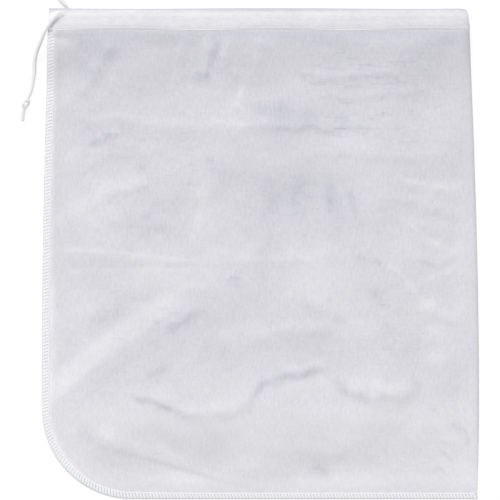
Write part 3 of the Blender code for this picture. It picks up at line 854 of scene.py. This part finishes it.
def front_relief(x, y):
    """All creases and crumples, held down at the seam, the fold and the casing."""
    place = wander(x, y)
    relief = sum(crease_height(*place, *crease) for crease in CREASES)
    relief = relief + crumple(x, y, *BROAD_CRUMPLES) + crumple(x, y, *FINE_CRUMPLES)
    centre, _, _ = fold_round(y)
    hold = smooth((seam_inset(x, y) - SEAM_FLAT) / SEAM_HOLD) * smooth((centre - x) / FOLD_HOLD)
    return relief * hold * smooth((CASING_LOW - CASING_GAP - y) / CASING_HOLD)


print("crumples", BROAD_CRUMPLES[-1] * 1000, "and", FINE_CRUMPLES[-1] * 1000, "mm high")

# %% [markdown]
# The mesh is so sheer that most of what the eye sees on it is light from behind: pale where the cloth catches the
# light or lies close to the layer below, deep in small folds. A thin shell can't show that by itself, so it is drawn
# as a tone on the points, along soft lines read off the photograph, and the finish turns the tone into colour.

# %% Marks of light and shade
# Soft marks of painted light (positive) and painted shade (negative): strength, width in mm, points as picture columns
# and rows.
LIGHT_AND_SHADE_MARKS = [
    (3, 3, [(185, 261), (250, 258), (352, 258)]),
    (6, 7, [(206, 162), (201, 200), (198, 256)]),
    (5, 6, [(55, 230), (68, 213), (90, 200)]),
    (4, 6, [(72, 234), (95, 206), (112, 190), (152, 180)]),
    (4, 4, [(204, 30), (207, 56)]),
    (4, 4, [(223, 33), (226, 62)]),
    (6, 5, [(246, 78), (241, 112)]),
    (4, 4, [(396, 206), (436, 190), (472, 196)]),
    (4, 4, [(424, 236), (446, 246), (470, 250)]),
    (5, 2, [(392, 172), (424, 184), (472, 190)]),
    (5, 2, [(398, 218), (430, 238), (452, 248)]),
    (5, 2, [(380, 262), (404, 276), (420, 296)]),
    (5, 2.5, [(418, 286), (440, 272), (470, 262)]),
    (4, 3, [(228, 330), (270, 327), (318, 322), (352, 330)]),
    (4, 2.5, [(70, 112), (120, 116), (170, 122), (222, 121)]),
    (4, 2.5, [(60, 170), (78, 152), (104, 146), (136, 132)]),
    (5, 8, [(432, 298), (437, 345), (434, 384)]),
    (6, 5, [(84, 428), (148, 447), (198, 461)]),
    (4, 6, [(57, 282), (56, 340), (58, 404)]),
    (9, 1.8, [(51, 256), (53, 290), (52, 340), (52, 385), (55, 412)]),
    (4, 5, [(284, 388), (304, 380), (330, 378)]),
    (5, 7, [(345, 382), (372, 388), (402, 394)]),
    (4, 9, [(388, 334), (412, 316), (434, 298)]),
    (4, 7, [(70, 60), (66, 90), (70, 110)]),
    (3, 9, [(250, 300), (310, 290), (372, 300)]),
    (9, 7, [(50, 30), (58, 35), (68, 40), (80, 44)]),
    (-5, 8, [(126, 31), (104, 57), (78, 97)]),
    (-9, 3, [(221, 40), (216, 56), (206, 71)]),
    (-9, 4, [(193, 74), (203, 77), (212, 76)]),
    (-6, 6, [(246, 120), (276, 115), (320, 119), (384, 127)]),
    (-7, 1.8, [(246, 129), (300, 128), (340, 129), (396, 131)]),
    (4, 1.8, [(196, 121), (226, 124), (258, 124)]),
    (-5, 4, [(248, 110), (272, 106), (294, 106)]),
    (-10, 2.5, [(85, 144), (99, 139), (114, 133)]),
    (-6, 4, [(134, 165), (152, 168)]),
    (-8, 3, [(207, 160), (216, 162)]),
    (-5, 24, [(232, 192), (275, 200), (320, 204), (372, 200)]),
    (-2, 4, [(263, 180), (268, 200), (276, 220)]),
    (-4, 22, [(236, 226), (262, 246), (290, 250)]),
    (-4, 4, [(301, 180), (296, 194), (290, 212)]),
    (-6, 3, [(333, 180), (328, 212)]),
    (-7, 3, [(349, 186), (358, 220)]),
    (-3, 18, [(118, 230), (150, 227), (172, 224)]),
    (-13, 3, [(226, 276), (236, 278), (247, 280)]),
    (-6, 5, [(83, 319), (104, 316), (127, 311)]),
    (-8, 2.2, [(161, 332), (182, 321), (199, 306)]),
    (-4, 4, [(176, 300), (190, 293), (198, 296)]),
    (-9, 2, [(122, 393), (150, 402), (176, 412), (202, 416)]),
    (-13, 3, [(233, 409), (250, 398), (263, 385), (281, 377), (302, 373), (332, 369)]),
    (-8, 3, [(334, 374), (345, 390), (372, 394)]),
    (-6, 3, [(410, 371), (416, 383), (418, 397)]),
    (-6, 4, [(74, 431), (88, 437), (92, 446)]),
    (-9, 5, [(308, 466), (320, 472), (334, 476)]),
    (-8, 1.9, [(428, 477), (437, 469), (445, 479)]),
    (-8, 1.7, [(442, 420), (454, 425), (462, 431), (466, 440), (466, 454)]),
    (-8, 1.6, [(436, 446), (446, 454), (458, 463)]),
    (4, 3, [(434, 432), (450, 436), (458, 448)]),
    (-6, 4, [(374, 284), (378, 298), (382, 312)]),
    (-7, 2, [(350, 258), (374, 261), (386, 271)]),
    (-4, 5, [(404, 344), (410, 362)]),
    (-4, 9, [(200, 345), (214, 352), (232, 350)]),
    (-6, 3, [(145, 375), (160, 372), (172, 360)]),
]
# Bands are marks of even strength, painted light and shade: the broad packing fold at the lower left, and fine lines
# across the middle.
LIGHT_AND_SHADE_BANDS = [
    (9, 6, [(30, 412), (60, 383), (92, 353), (132, 325), (160, 306), (206, 282)]),
    (7, 3, [(30, 424), (62, 391), (96, 361), (136, 334), (164, 314), (204, 292)]),
    (-3, 3.5, [(60, 424), (110, 376), (150, 346), (178, 328), (216, 304)]),
    (-8, 1.5, [(80, 442), (116, 451), (150, 460), (190, 472), (260, 492)]),
    (7, 1.8, [(40, 252), (80, 250), (112, 252), (170, 259), (216, 264)]),
    (5, 1.8, [(44, 272), (110, 270), (170, 270), (240, 271)]),
]
# Patches where the cloth is finely crinkled across; the crinkles darken the colour as painted shade.
CRINKLE_SHADE_PATCHES = [
    (0.24, 22, [(270, 62), (330, 78), (400, 72), (462, 82)]),
    (0.2, 18, [(300, 118), (370, 128), (450, 134)]),
    (0.1, 22, [(90, 128), (150, 140), (220, 150)]),
    (0.14, 18, [(130, 168), (175, 165), (215, 160)]),
    (0.18, 16, [(86, 316), (130, 322), (190, 318)]),
    (0.14, 20, [(370, 290), (400, 330), (410, 370)]),
    (0.16, 16, [(300, 474), (350, 470), (440, 450)]),
    (0.08, 30, [(260, 200), (300, 205), (350, 205)]),
]


def drawn(x, y, lines, uneven=UNEVEN):
    """The sum of soft lines, each a bell of the distance to it, as high as its strength."""
    return sum(crease_height(x, y, points, strength, width, width, uneven) for strength, width, points in lines) / MM


print(len(LIGHT_AND_SHADE_MARKS), "marks,", len(LIGHT_AND_SHADE_BANDS), "bands and", len(CRINKLE_SHADE_PATCHES), "crinkled patches")

# %% [markdown]
# The tone of a point adds up a start value, all marks and bands of painted light and shade, soft uneven patches, a slow
# change down the bag that is partly painted light, and the paler strip of the seam, where the cloth lies double and
# painted light lifts the shade between the threads. A full step from deep to pale is 38 levels of grey.

# %% Tone of the cloth
TONE_LEVELS, TONE_START = 38.0, 0.5
# Painted light just under the casing's lip against its contact shadow, duller cloth below it, and painted light towards
# the foot: picture rows and strengths.
TONE_ROWS = (27, 29.5, 31.5, 36, 50, 90, 185, 270, 360, 430, 480, 497)
TONE_DOWN = (6, 6, -6, -7, -4, -1, 0, 2, 0, 7, 12, 2)
BROAD_PATCHES, FINE_PATCHES = (21, 26, 0.02, 0.09, 0.8), (23, 40, 0.006, 0.02, 0.35)
# The seam's strip is paler where the cloth lies double, and painted light there lifts the shade between the threads.
SIDE_SEAM_TONE, FOOT_SEAM_TONE, FOOT_TONE_REACH = 17, 1, 0.03
SEAM_TONE_PAST, FOOT_TONE_CUT, SEAM_TONE_BLUR = 0.002, 0.0015, 0.004
CRINKLE_LEAST = 0.06


def crinkled(x, y):
    """Share of fine crinkles, painted shade on the cloth: a little everywhere, more in the patches."""
    return CRINKLE_LEAST + drawn(x, y, CRINKLE_SHADE_PATCHES)


def front_tone(x, y):
    """The cloth's tone: a start value, marks of painted light and shade, soft uneven patches, the change down the bag,
    and the seam.
    """
    marks = drawn(*wander(x, y), LIGHT_AND_SHADE_MARKS) + drawn(x, y, LIGHT_AND_SHADE_BANDS, 0)
    patches = crumple(x, y, *BROAD_PATCHES) + crumple(x, y, *FINE_PATCHES)
    down = np.interp(-y, -from_picture(0, np.array(TONE_ROWS))[1], TONE_DOWN)
    at_foot = smooth((CORNER_Y - FOOT_TONE_REACH - y) / FOOT_TONE_REACH)
    reach = SEAM_FLAT + SEAM_TONE_PAST - FOOT_TONE_CUT * at_foot
    seam = mixed(SIDE_SEAM_TONE, FOOT_SEAM_TONE, at_foot) * smooth((reach - seam_inset(x, y)) / SEAM_TONE_BLUR)
    return TONE_START + (marks + patches + down + seam) / TONE_LEVELS


print("tone changes down the bag at", len(TONE_ROWS), "levels")

# %% [markdown]
# Now the sheet itself: rows of points up the bag, each running from the seam across the back, round the fold and over
# the front to the seam again. The UV map is the sheet laid flat, in metres, so the knit keeps its size round the fold.
# A Solidify modifier gives the cloth its thickness.

# %% The folded sheet of mesh
ROUND_ROWS, BODY_ROWS = 36, 156
BACK_COLUMNS, FOLD_COLUMNS, FRONT_COLUMNS = 44, 8, 200
UV_START = 0.2
CLOTH = 0.0004


def mesh_sheet():
    """Rows up the bag, columns from the seam across the back, round the fold and over the front to the seam."""
    round_up = CORNER_Y - CORNER_RADIUS * np.cos(np.linspace(0, np.pi / 2, ROUND_ROWS))
    y = np.concatenate([round_up, np.linspace(CORNER_Y, SHEET_TOP, BODY_ROWS)[1:]])[:, None]
    centre, radius, middle = fold_round(y)
    left = left_edge(y)
    back_x = mixed(left, centre, np.linspace(0, 1, BACK_COLUMNS)[None, :])
    angle = np.pi * np.arange(1, FOLD_COLUMNS)[None, :] / FOLD_COLUMNS
    front_x = mixed(centre, left, np.linspace(0, 1, FRONT_COLUMNS)[None, :])
    front_y = np.broadcast_to(y, front_x.shape)
    back_z = back_height(back_x, np.broadcast_to(y, back_x.shape))
    front_z = front_height(front_x, front_y) + front_relief(front_x, front_y)
    x = np.hstack([back_x, centre + radius * np.sin(angle), front_x])
    z = np.hstack([back_z, middle - radius * np.cos(angle), front_z])
    flat = np.hstack([back_x, centre + radius * angle, centre + np.pi * radius + (centre - front_x)])
    level = np.broadcast_to(y, x.shape)
    uv = np.stack([flat, level], -1) + UV_START
    return np.stack([x, level, z], -1), uv, front_tone(x, level), crinkled(x, level)


def give_wall(piece):
    """Thickness for a sheet of points, half to either side."""
    wall = piece.modifiers.new("cloth", "SOLIDIFY")
    wall.thickness = CLOTH
    wall.offset = 0.0


sheet_points, sheet_uv, sheet_tone, sheet_crinkle_shade = mesh_sheet()
rows, columns = sheet_points.shape[:2]
mesh_cloth = put_mesh(
    "mesh_cloth", sheet_points, grid_faces(rows, columns), sheet_uv, (), mesh_finish,
    tone=sheet_tone, crinkle=sheet_crinkle_shade,
)
give_wall(mesh_cloth)
join_frame(mesh_cloth, "bag", "mesh_body")

# %% [markdown]
# The casing is a strip folded over the cord. Its cut runs from the outer lip, up over the cord and down to the inner
# lip; that line is carried along the mouth, round the fold and back. Near the front's left end both walls stand off
# the cord, because it turns down there and slips out of the open end. At the back the top is slit for the other end.

# %% The casing's cut and the cord in it
TUBE_MIDDLE = (casing_high[2] - FRONT_Z) - CLOTH / 2
TUBE_TURN, TUBE_POINTS = 115, 25
LIP_ROOM, LIP_EDGE, LIP_EASE, LIP_POINTS = 0.0001, 0.00012, 0.004, 9
LIP_MIDDLE = CLOTH + LIP_ROOM
NECK, NECK_POINTS = 0.007, 8
ROUTE_POINTS, ROUTE_SPACING = 5, 0.0006
DRAPE_ROOM, LEAST_BULGE = 0.0004, 0.0006
DRAPE_START, DRAPE_BLEND = 1.7, 0.8


def casing_profile():
    """The cut of the strip: height up the bag and distance out, lip to lip, with its length along the strip."""
    turn = np.radians(np.linspace(TUBE_TURN, -TUBE_TURN, TUBE_POINTS))
    low = np.linspace(CASING_LOW, CORD_Y - NECK, LIP_POINTS)
    lip_q = mixed(LIP_EDGE, LIP_MIDDLE, smooth((low - CASING_LOW) / LIP_EASE))
    neck = np.linspace(0, 1, NECK_POINTS)[1:-1]
    neck_y = mixed(CORD_Y - NECK, CORD_Y + TUBE_MIDDLE * np.cos(turn[0]), neck)
    neck_q = mixed(LIP_MIDDLE, TUBE_MIDDLE * np.sin(turn[0]), smooth(neck))
    y = np.concatenate([low, neck_y, CORD_Y + TUBE_MIDDLE * np.cos(turn), neck_y[::-1], low[::-1]])
    q = np.concatenate([lip_q, neck_q, TUBE_MIDDLE * np.sin(turn), -neck_q[::-1], -lip_q[::-1]])
    return y, q, lengths_along(np.stack([y, q], -1))


def cord_stand_off(x, y, q, outside):
    """Outward distance of each wall where the front cord passes: its own, or the cord's surface plus room."""
    start = [FRONT_EXIT, CORD_Y, FRONT_Z]
    route = np.vstack([start, laid(FRONT_TAIL[:ROUTE_POINTS], FRONT_EXIT, FRONT_Z)])
    route = smooth_path(route, ROUTE_SPACING)
    gap = np.stack([x, y], -1)[..., None, :] - route[:, :2]
    squared = (gap**2).sum(-1)
    nearest = np.argmin(squared, -1)
    distance = np.sqrt(np.take_along_axis(squared, nearest[..., None], -1)[..., 0])
    height = route[nearest, 2] - FRONT_Z
    reach = CORD_RADIUS + DRAPE_ROOM + CLOTH / 2
    bulge = np.maximum(np.sqrt(np.maximum(reach**2 - distance**2, 0)), LEAST_BULGE)
    near = smooth((reach * DRAPE_START - distance) / (reach * DRAPE_BLEND))
    outer = np.maximum(q, mixed(q, height + bulge, near))
    inner = np.minimum(q, mixed(q, height - bulge, near))
    return np.where(outside, outer, inner)


cut_y, cut_q, cut_along = casing_profile()

# %% [markdown]
# The front wall is the one that shows. Its lip lies down on the bag, the stitches pucker it, and its edges lean and
# wave a little, as hand-fed hems do. The back wall stays plain, apart from the flaps where the cord comes out.

# %% The casing's walls
CASING_STATIONS, CASING_BEND, STATION_POWER = 230, 22, 1.15
INNER_SHARE, INNER_BLEND = 0.74, 0.1
SLIT_SHARES, SLIT_BLEND = (0.27, 0.62), 0.06
FRONT_FLAP, BACK_FLAP = 0.0045, 0.0057
DROOP, DROOP_REACH = 0.8, 0.006
PUCKER, PUCKER_LENGTH, PUCKER_BEAT = 0.00008, 0.0083, 0.037
PUCKER_TOP, PUCKER_FOOT, PUCKER_BLUR = 0.001, 0.002, 0.004
LEAN, LEAN_LENGTH, LEAN_REACH = 0.0004, 0.11, 0.008
HEM_WAVE, HEM_WAVE_LENGTH, HEM_WAVE_LOW_COLUMN = 0.0003, 0.196, 135
HEM_WAVE_BELOW, HEM_WAVE_BLUR = 0.006, 0.004


def ripple(x, length, start=0.0):
    """A sine wave of a length across the bag."""
    return np.sin(2 * np.pi * x / length + start)


def left_ends(share):
    """Where the strip ends on the left, front and back: its inner walls stop short, and the back's top is slit."""
    inner = smooth((share - INNER_SHARE) / INNER_BLEND)
    slit = smooth((share - SLIT_SHARES[0]) / SLIT_BLEND) * smooth((SLIT_SHARES[1] - share) / SLIT_BLEND)
    back = mixed(CASING_LEFT, BACK_EXIT, slit)
    return mixed(CASING_LEFT, FRONT_EXIT - FRONT_FLAP, inner), mixed(back, CASING_LEFT + BACK_FLAP, inner)


def front_wall(x, y, q):
    """The front's points: the cut, drooped to the bag at its lip, held off the cord, puckered and leaning."""
    up = np.broadcast_to(y, x.shape)
    outside = np.broadcast_to(q > 0, x.shape)
    droop = (FRONT_Z - front_height(x, np.full_like(x, CASING_LOW))) * outside
    droop = DROOP * droop * smooth((CASING_LOW + DROOP_REACH - up) / DROOP_REACH)
    slack = smooth((CORD_Y - PUCKER_TOP - y) / PUCKER_BLUR) * smooth((y - CASING_LOW - PUCKER_FOOT) / PUCKER_BLUR)
    pucker = PUCKER * slack * np.sign(q) * ripple(x, PUCKER_LENGTH, 2.0 * ripple(x, PUCKER_BEAT))
    lean = LEAN * ripple(x, LEAN_LENGTH, 1.0) * smooth((CORD_Y - up) / LEAN_REACH)
    return np.stack([x, up + lean, FRONT_Z + cord_stand_off(x, up, q - droop, outside) + pucker], -1)


def casing_sheet(y, q, strip):
    """The strip's points: stations along the front, round the fold and along the back, each a whole cut."""
    front_left, back_left = left_ends(strip / strip[-1])
    bend_x = hem_bend(y)
    front_x = mixed(front_left, bend_x, np.linspace(0, 1, CASING_STATIONS)[:, None] ** STATION_POWER)
    angle = np.linspace(0, np.pi, CASING_BEND)[1:-1, None]
    back_x = mixed(bend_x, back_left, np.linspace(0, 1, CASING_STATIONS // 2)[:, None])
    reach = BEND_RADIUS + q
    bend = np.broadcast_arrays(bend_x + reach * np.sin(angle), y, MIDDLE_Z + reach * np.cos(angle))
    back = np.broadcast_arrays(back_x, y, BACK_Z - q)
    points = np.vstack([front_wall(front_x, y, q), np.stack(bend, -1), np.stack(back, -1)])
    low_x = from_picture(HEM_WAVE_LOW_COLUMN, 0)[0]
    wave = -HEM_WAVE * np.cos(2 * np.pi * (points[..., 0] - low_x) / HEM_WAVE_LENGTH)
    points[..., 1] += wave * smooth((points[..., 1] - CORD_Y + HEM_WAVE_BELOW) / HEM_WAVE_BLUR)
    along = np.vstack([front_x, bend_x + BEND_RADIUS * angle, 2 * bend_x + np.pi * BEND_RADIUS - back_x])
    return points, np.stack([np.broadcast_to(strip, along.shape), along], -1) + UV_START


casing_points, casing_uv = casing_sheet(cut_y, cut_q, cut_along)

# %% [markdown]
# The casing's tone runs up its height as painted light and shade: pale at the lip against its contact shadow, duller
# above it, a painted highlight where it swells over the cord, and painted shade along the very top. The cord also
# shades the casing along the side that it leaves by, a painted shadow.

# %% The casing's tone
# Painted light and shade up the casing's height; the corner's painted light lifts the shadow at the left end.
CASING_LEVELS = (0, 0.05, 0.1, 0.2, 0.35, 0.45, 0.55, 0.65, 0.75, 0.83, 0.87, 0.91, 0.96, 1)
CASING_LIGHT_AND_SHADE = (1.1, 0.95, 0.5, 0.5, 0.56, 0.67, 0.87, 0.97, 0.93, 0.84, 0.55, 0.1, -0.1, -0.1)
CASING_DIM = 0.08
CORNER_LIGHT, CORNER_REACH, CORNER_BLUR, CORNER_TOP = 0.2, 0.009, 0.007, 0.7
EXIT_SHADE = [(1.1, 0.85, [(69, 14), (61, 18), (55, 23), (48, 33)])]
CASING_PATCHES = (31, 24, 0.008, 0.05, 1.2)


def casing_tone(x, y):
    """Painted light and shade up the casing, dimmer to the right, painted light on the left corner, the cord's painted
    shadow and uneven patches.
    """
    up = (y - CASING_LOW) / (MOUTH_TOP - CASING_LOW)
    corner = smooth((CASING_LEFT + CORNER_REACH - x) / CORNER_BLUR) * smooth(1 - up / CORNER_TOP)
    tone = np.interp(up, CASING_LEVELS, CASING_LIGHT_AND_SHADE) - CASING_DIM * x / BELLY_RIGHT + CORNER_LIGHT * corner
    return tone - drawn(x, y, EXIT_SHADE, 0) + crumple(x, y, *CASING_PATCHES) / TONE_LEVELS


casing_cloth = put_mesh(
    "casing_cloth", casing_points, grid_faces(*casing_points.shape[:2])[:, ::-1], casing_uv, (), casing_finish,
    tone=casing_tone(casing_points[..., 0], casing_points[..., 1]),
)
give_wall(casing_cloth)
join_frame(casing_cloth, "bag", "drawstring_casing")
print("casing", casing_points.shape[0], "by", casing_points.shape[1], "points")

# %% [markdown]
# The casing is held by a row of lockstitch: a needle thread outside and a bobbin thread inside. Each is one thread
# that lies on the cloth for a stitch and dips into it between two stitches.

# %% Casing stitches
STITCH, STITCH_INSET, STITCH_START = 0.0026, 0.0012, 0.004
THREAD_RADIUS, STITCH_WIDE, THREAD_SIDES = 0.00019, 0.00024, 6
STITCH_DIP, STITCH_LIP, STITCH_REST = 2.2, 0.3, 0.7
SAMPLES_PER_STITCH = 9


def stitch_lift(step):
    """How far each sample of a row of stitches stands up: the root of half a sine over each stitch."""
    return np.sin(np.pi * (step % SAMPLES_PER_STITCH) / SAMPLES_PER_STITCH) ** 0.5


def mouth_path(start, end_back, y, q):
    """Places along the mouth at distances out from the strip's middle: front leg, half circle, back leg."""
    bend_x = hem_bend(y)
    front = bend_x - start
    total = front + np.pi * BEND_RADIUS + bend_x - end_back
    s = np.linspace(0, total, int(total / STITCH) * SAMPLES_PER_STITCH + 1)
    out = q + np.sign(q) * (stitch_lift(np.arange(len(s))) - 1) * STITCH_DIP * THREAD_RADIUS
    angle = np.clip((s - front) / BEND_RADIUS, 0, np.pi)
    beyond = np.maximum(s - front - np.pi * BEND_RADIUS, 0)
    x = np.where(s < front, start + s, bend_x + (BEND_RADIUS + out) * np.sin(angle) - beyond)
    z = MIDDLE_Z + (BEND_RADIUS + out) * np.cos(angle)
    return np.stack([x, np.full_like(s, y), z], -1)


def put_thread(name, path, node, steady, wide, high, finish):
    """A sewing thread along a path: an oval whose wide way keeps to the steady heading given for each point."""
    piece = put_tube(name, path, wide, high, THREAD_SIDES, finish, steady)
    join_frame(piece, "bag", node)
    print(name, len(path), "points")


stitch_y = CASING_LOW + STITCH_INSET
stitch_q = mixed(LIP_EDGE, LIP_MIDDLE, STITCH_LIP) + CLOTH / 2 + STITCH_REST * THREAD_RADIUS
for thread, start, q in (("needle", CASING_LEFT + STITCH_START, stitch_q), ("bobbin", FRONT_EXIT, -stitch_q)):
    path = mouth_path(start, BACK_EXIT + STITCH_INSET, stitch_y, q)
    put_thread(
        f"casing_{thread}_stitches", path, f"casing_{thread}_thread", (0, 1, 0), STITCH_WIDE, THREAD_RADIUS,
        casing_thread_finish,
    )

# %% [markdown]
# The side and foot are overlocked: a needle thread runs along the inside of the seam, and two looper threads swing
# from it to the raw edge and back, one over the bag and one under it, meeting round the edge. On the photograph they
# show as close slanted stitches.

# %% The seam's line
SEAM_WIDTH, FOOT_SEAM_WIDTH = 0.0047, 0.0038
SEAM_BELOW_CASING, SEAM_TAIL = 0.0006, 0.0018
SIDE_POINTS, CORNER_POINTS, FOOT_POINTS = 220, 90, 160
FOOT_NARROWS_BEFORE, FOOT_NARROWS_OVER = 0.02, 0.06


def seam_line():
    """The raw edge from the casing down the side, round the corner and along the foot, with its heading."""
    y = np.linspace(CASING_LOW - SEAM_BELOW_CASING, CORNER_Y, SIDE_POINTS)
    side = np.stack([left_edge(y), y], -1)
    angle = np.linspace(np.pi / 2, 0, CORNER_POINTS)[1:]
    corner = np.stack([CORNER_X - CORNER_RADIUS * np.sin(angle), CORNER_Y - CORNER_RADIUS * np.cos(angle)], -1)
    x = np.linspace(CORNER_X, right_edge(EDGE_BOTTOM) + SEAM_TAIL, FOOT_POINTS)[1:]
    foot = np.stack([x, np.full_like(x, EDGE_BOTTOM)], -1)
    line = np.vstack([side, corner, foot])
    return line, unit(np.gradient(line, axis=0))


edge_line, edge_heading = seam_line()
edge_along = lengths_along(edge_line)


def on_seam(s, inset):
    """Level places at a distance along the seam and a distance in from its edge, and the seam's heading there."""
    x, y = (np.interp(s, edge_along, edge_line[:, k]) for k in range(2))
    ahead_x, ahead_y = (np.interp(s, edge_along, edge_heading[:, k]) for k in range(2))
    return x - ahead_y * inset, y + ahead_x * inset, np.stack([ahead_x, ahead_y, np.zeros_like(s)], -1)


def width_along(s):
    """The seam's width, drawn in along the foot."""
    foot_start = np.interp(CORNER_X, edge_line[-FOOT_POINTS:, 0], edge_along[-FOOT_POINTS:])
    return mixed(SEAM_WIDTH, FOOT_SEAM_WIDTH, smooth((s - foot_start + FOOT_NARROWS_BEFORE) / FOOT_NARROWS_OVER))


print("seam", round(float(edge_along[-1]), 3), "m long")

# %% [markdown]
# A looper thread lays one narrow, slanted loop in each stitch. The loop is written once, as a few samples, and repeated
# along the seam: over the bag for the upper looper, under it for the lower one, and both meet at the raw edge.

# %% Overlock threads
OVERLOCK = 0.0024
LOOPER_WIDE, LOOPER_HIGH = 0.00042, 0.00016
EDGE_OVERHANG, EDGE_SHARE = -0.0001, 0.88
LOWER_SHIFT = 0.45
NEEDLE_INSET, NEEDLE_LIFT, NEEDLE_DIP = 0.0003, 1.6, 0.8
# One loop: sample number, how far along the stitch, and how far out from the needle line to the edge.
LOOP_SAMPLES = (0, 5, 7, 12, 14)
LOOP_ALONG = (0.0, 0.8, 1.13, 0.33, 1.0)
LOOP_OUT = (0.0, 1.0, 1.0, 0.0, 0.0)


def looper_path(side, shift):
    """A narrow loop in each stitch: out from the needle line, along the edge, back beside itself, on to the next.

    Side is 1 over the bag and -1 under it. Returns the path and the level heading square to it."""
    count = int(edge_along[-1] / OVERLOCK) - 1
    number, sample = np.divmod(np.arange(count * LOOP_SAMPLES[-1] + 1), LOOP_SAMPLES[-1])
    out = np.interp(sample, LOOP_SAMPLES, LOOP_OUT)
    s = (number + shift + np.interp(sample, LOOP_SAMPLES, LOOP_ALONG)) * OVERLOCK
    x, y, _ = on_seam(s, mixed(width_along(s), EDGE_OVERHANG, out))
    layer = front_height(x, y) if side > 0 else back_height(x, y)
    resting = layer + side * (CLOTH / 2 + LOOPER_HIGH)
    z = mixed(resting, seam_middle(y) + side * LOOPER_HIGH, smooth((out - EDGE_SHARE) / (1 - EDGE_SHARE)))
    path = np.stack([x, y, z], -1)
    ahead = np.gradient(path, axis=0)
    return path, np.stack([ahead[:, 1], -ahead[:, 0], np.zeros_like(x)], -1)


def seam_needle_path():
    """A straight row of stitches along the inside of the seam, each lying up and dipping at its ends."""
    step = np.arange(int(edge_along[-1] / OVERLOCK) * SAMPLES_PER_STITCH + 1)
    s = step / SAMPLES_PER_STITCH * OVERLOCK
    x, y, heading = on_seam(s, width_along(s) + NEEDLE_INSET)
    lift = THREAD_RADIUS * (NEEDLE_LIFT * stitch_lift(step) - NEEDLE_DIP)
    inward = np.stack([-heading[:, 1], heading[:, 0], np.zeros_like(s)], -1)
    return np.stack([x, y, front_height(x, y) + CLOTH / 2 + lift], -1), inward


for thread, (path, steady), wide, high, node in (
    ("upper", looper_path(1, 0.0), LOOPER_WIDE, LOOPER_HIGH, "overlock_upper_looper_thread"),
    ("lower", looper_path(-1, LOWER_SHIFT), LOOPER_WIDE, LOOPER_HIGH, "overlock_lower_looper_thread"),
    ("needle", seam_needle_path(), THREAD_RADIUS, THREAD_RADIUS, "overlock_needle_thread"),
):
    put_thread(f"overlock_{thread}_stitches", path, node, steady, wide, high, thread_finish)

# %% [markdown]
# Both sheets of cloth, the bag's and the casing's, are in place.

print("declared", mesh_cloth.name, "and", casing_cloth.name)

# %% [markdown]
# A plain white floor and soft studio light. The floor shows white to the camera and keeps a faint shadow. The light
# comes from the upper left and is low enough to show the creases; the sky fills the rest.

# %% Floor and light
FLOOR_HALF = 3.0
FLOOR_WHITE, FLOOR_SHADED, FLOOR_GLOW = (0.86, 0.86, 0.87, 1), (0.3, 0.3, 0.3, 1), 0.76
SUN_ENERGY, SUN_ANGLE, SUN_TURN = 1.5, 40, (-48, -22, 0)
SKY_COLOUR, SKY_STRENGTH = (0.97, 0.98, 1.0, 1), 0.74


def white_floor():
    """A wide plane: plain white to the light that bounces off it, and nearly white by itself to the camera."""
    corners = FLOOR_HALF * np.array([(-1, -1, 0), (1, -1, 0), (1, 1, 0), (-1, 1, 0)], float)
    made = bpy.data.materials.new("white_floor")
    made.use_nodes = True
    tree = made.node_tree
    tree.nodes.clear()
    output, rays, bounce, shaded, glow, both, choose = (
        tree.nodes.new(f"ShaderNode{kind}")
        for kind in ("OutputMaterial", "LightPath", "BsdfDiffuse", "BsdfDiffuse", "Emission", "AddShader", "MixShader")
    )
    bounce.inputs["Color"].default_value = FLOOR_WHITE
    shaded.inputs["Color"].default_value = FLOOR_SHADED
    glow.inputs["Strength"].default_value = FLOOR_GLOW
    direct = math_node(tree, "MAXIMUM", rays.outputs["Is Camera Ray"], rays.outputs["Is Glossy Ray"])
    direct = math_node(tree, "MAXIMUM", direct, rays.outputs["Is Transmission Ray"])
    for source, target in (
        (shaded.outputs[0], both.inputs[0]),
        (glow.outputs[0], both.inputs[1]),
        (direct, choose.inputs[0]),
        (bounce.outputs[0], choose.inputs[1]),
        (both.outputs[0], choose.inputs[2]),
        (choose.outputs[0], output.inputs["Surface"]),
    ):
        tree.links.new(source, target)
    uv = corners[:, :2] / (2 * FLOOR_HALF) + 0.5
    floor = put_mesh("floor", corners, np.array([[0, 1, 2, 3]]), uv, (), made)


def studio_light():
    """A soft lamp from the upper left and an even pale sky, together about as bright as a colour is written."""
    sun_data = bpy.data.lights.new("window", "SUN")
    sun_data.energy = SUN_ENERGY
    sun_data.angle = math.radians(SUN_ANGLE)
    sun = bpy.data.objects.new("window", sun_data)
    sun.rotation_euler = [math.radians(angle) for angle in SUN_TURN]
    bpy.context.scene.collection.objects.link(sun)
    world = bpy.data.worlds.new("pale_sky")
    world.use_nodes = True
    sky = world.node_tree.nodes["Background"]
    sky.inputs["Color"].default_value = SKY_COLOUR
    sky.inputs["Strength"].default_value = SKY_STRENGTH
    bpy.context.scene.world = world


white_floor()
studio_light()
bpy.context.scene.view_settings.view_transform = "Standard"
print("lamp", SUN_ENERGY, "sky", SKY_STRENGTH)
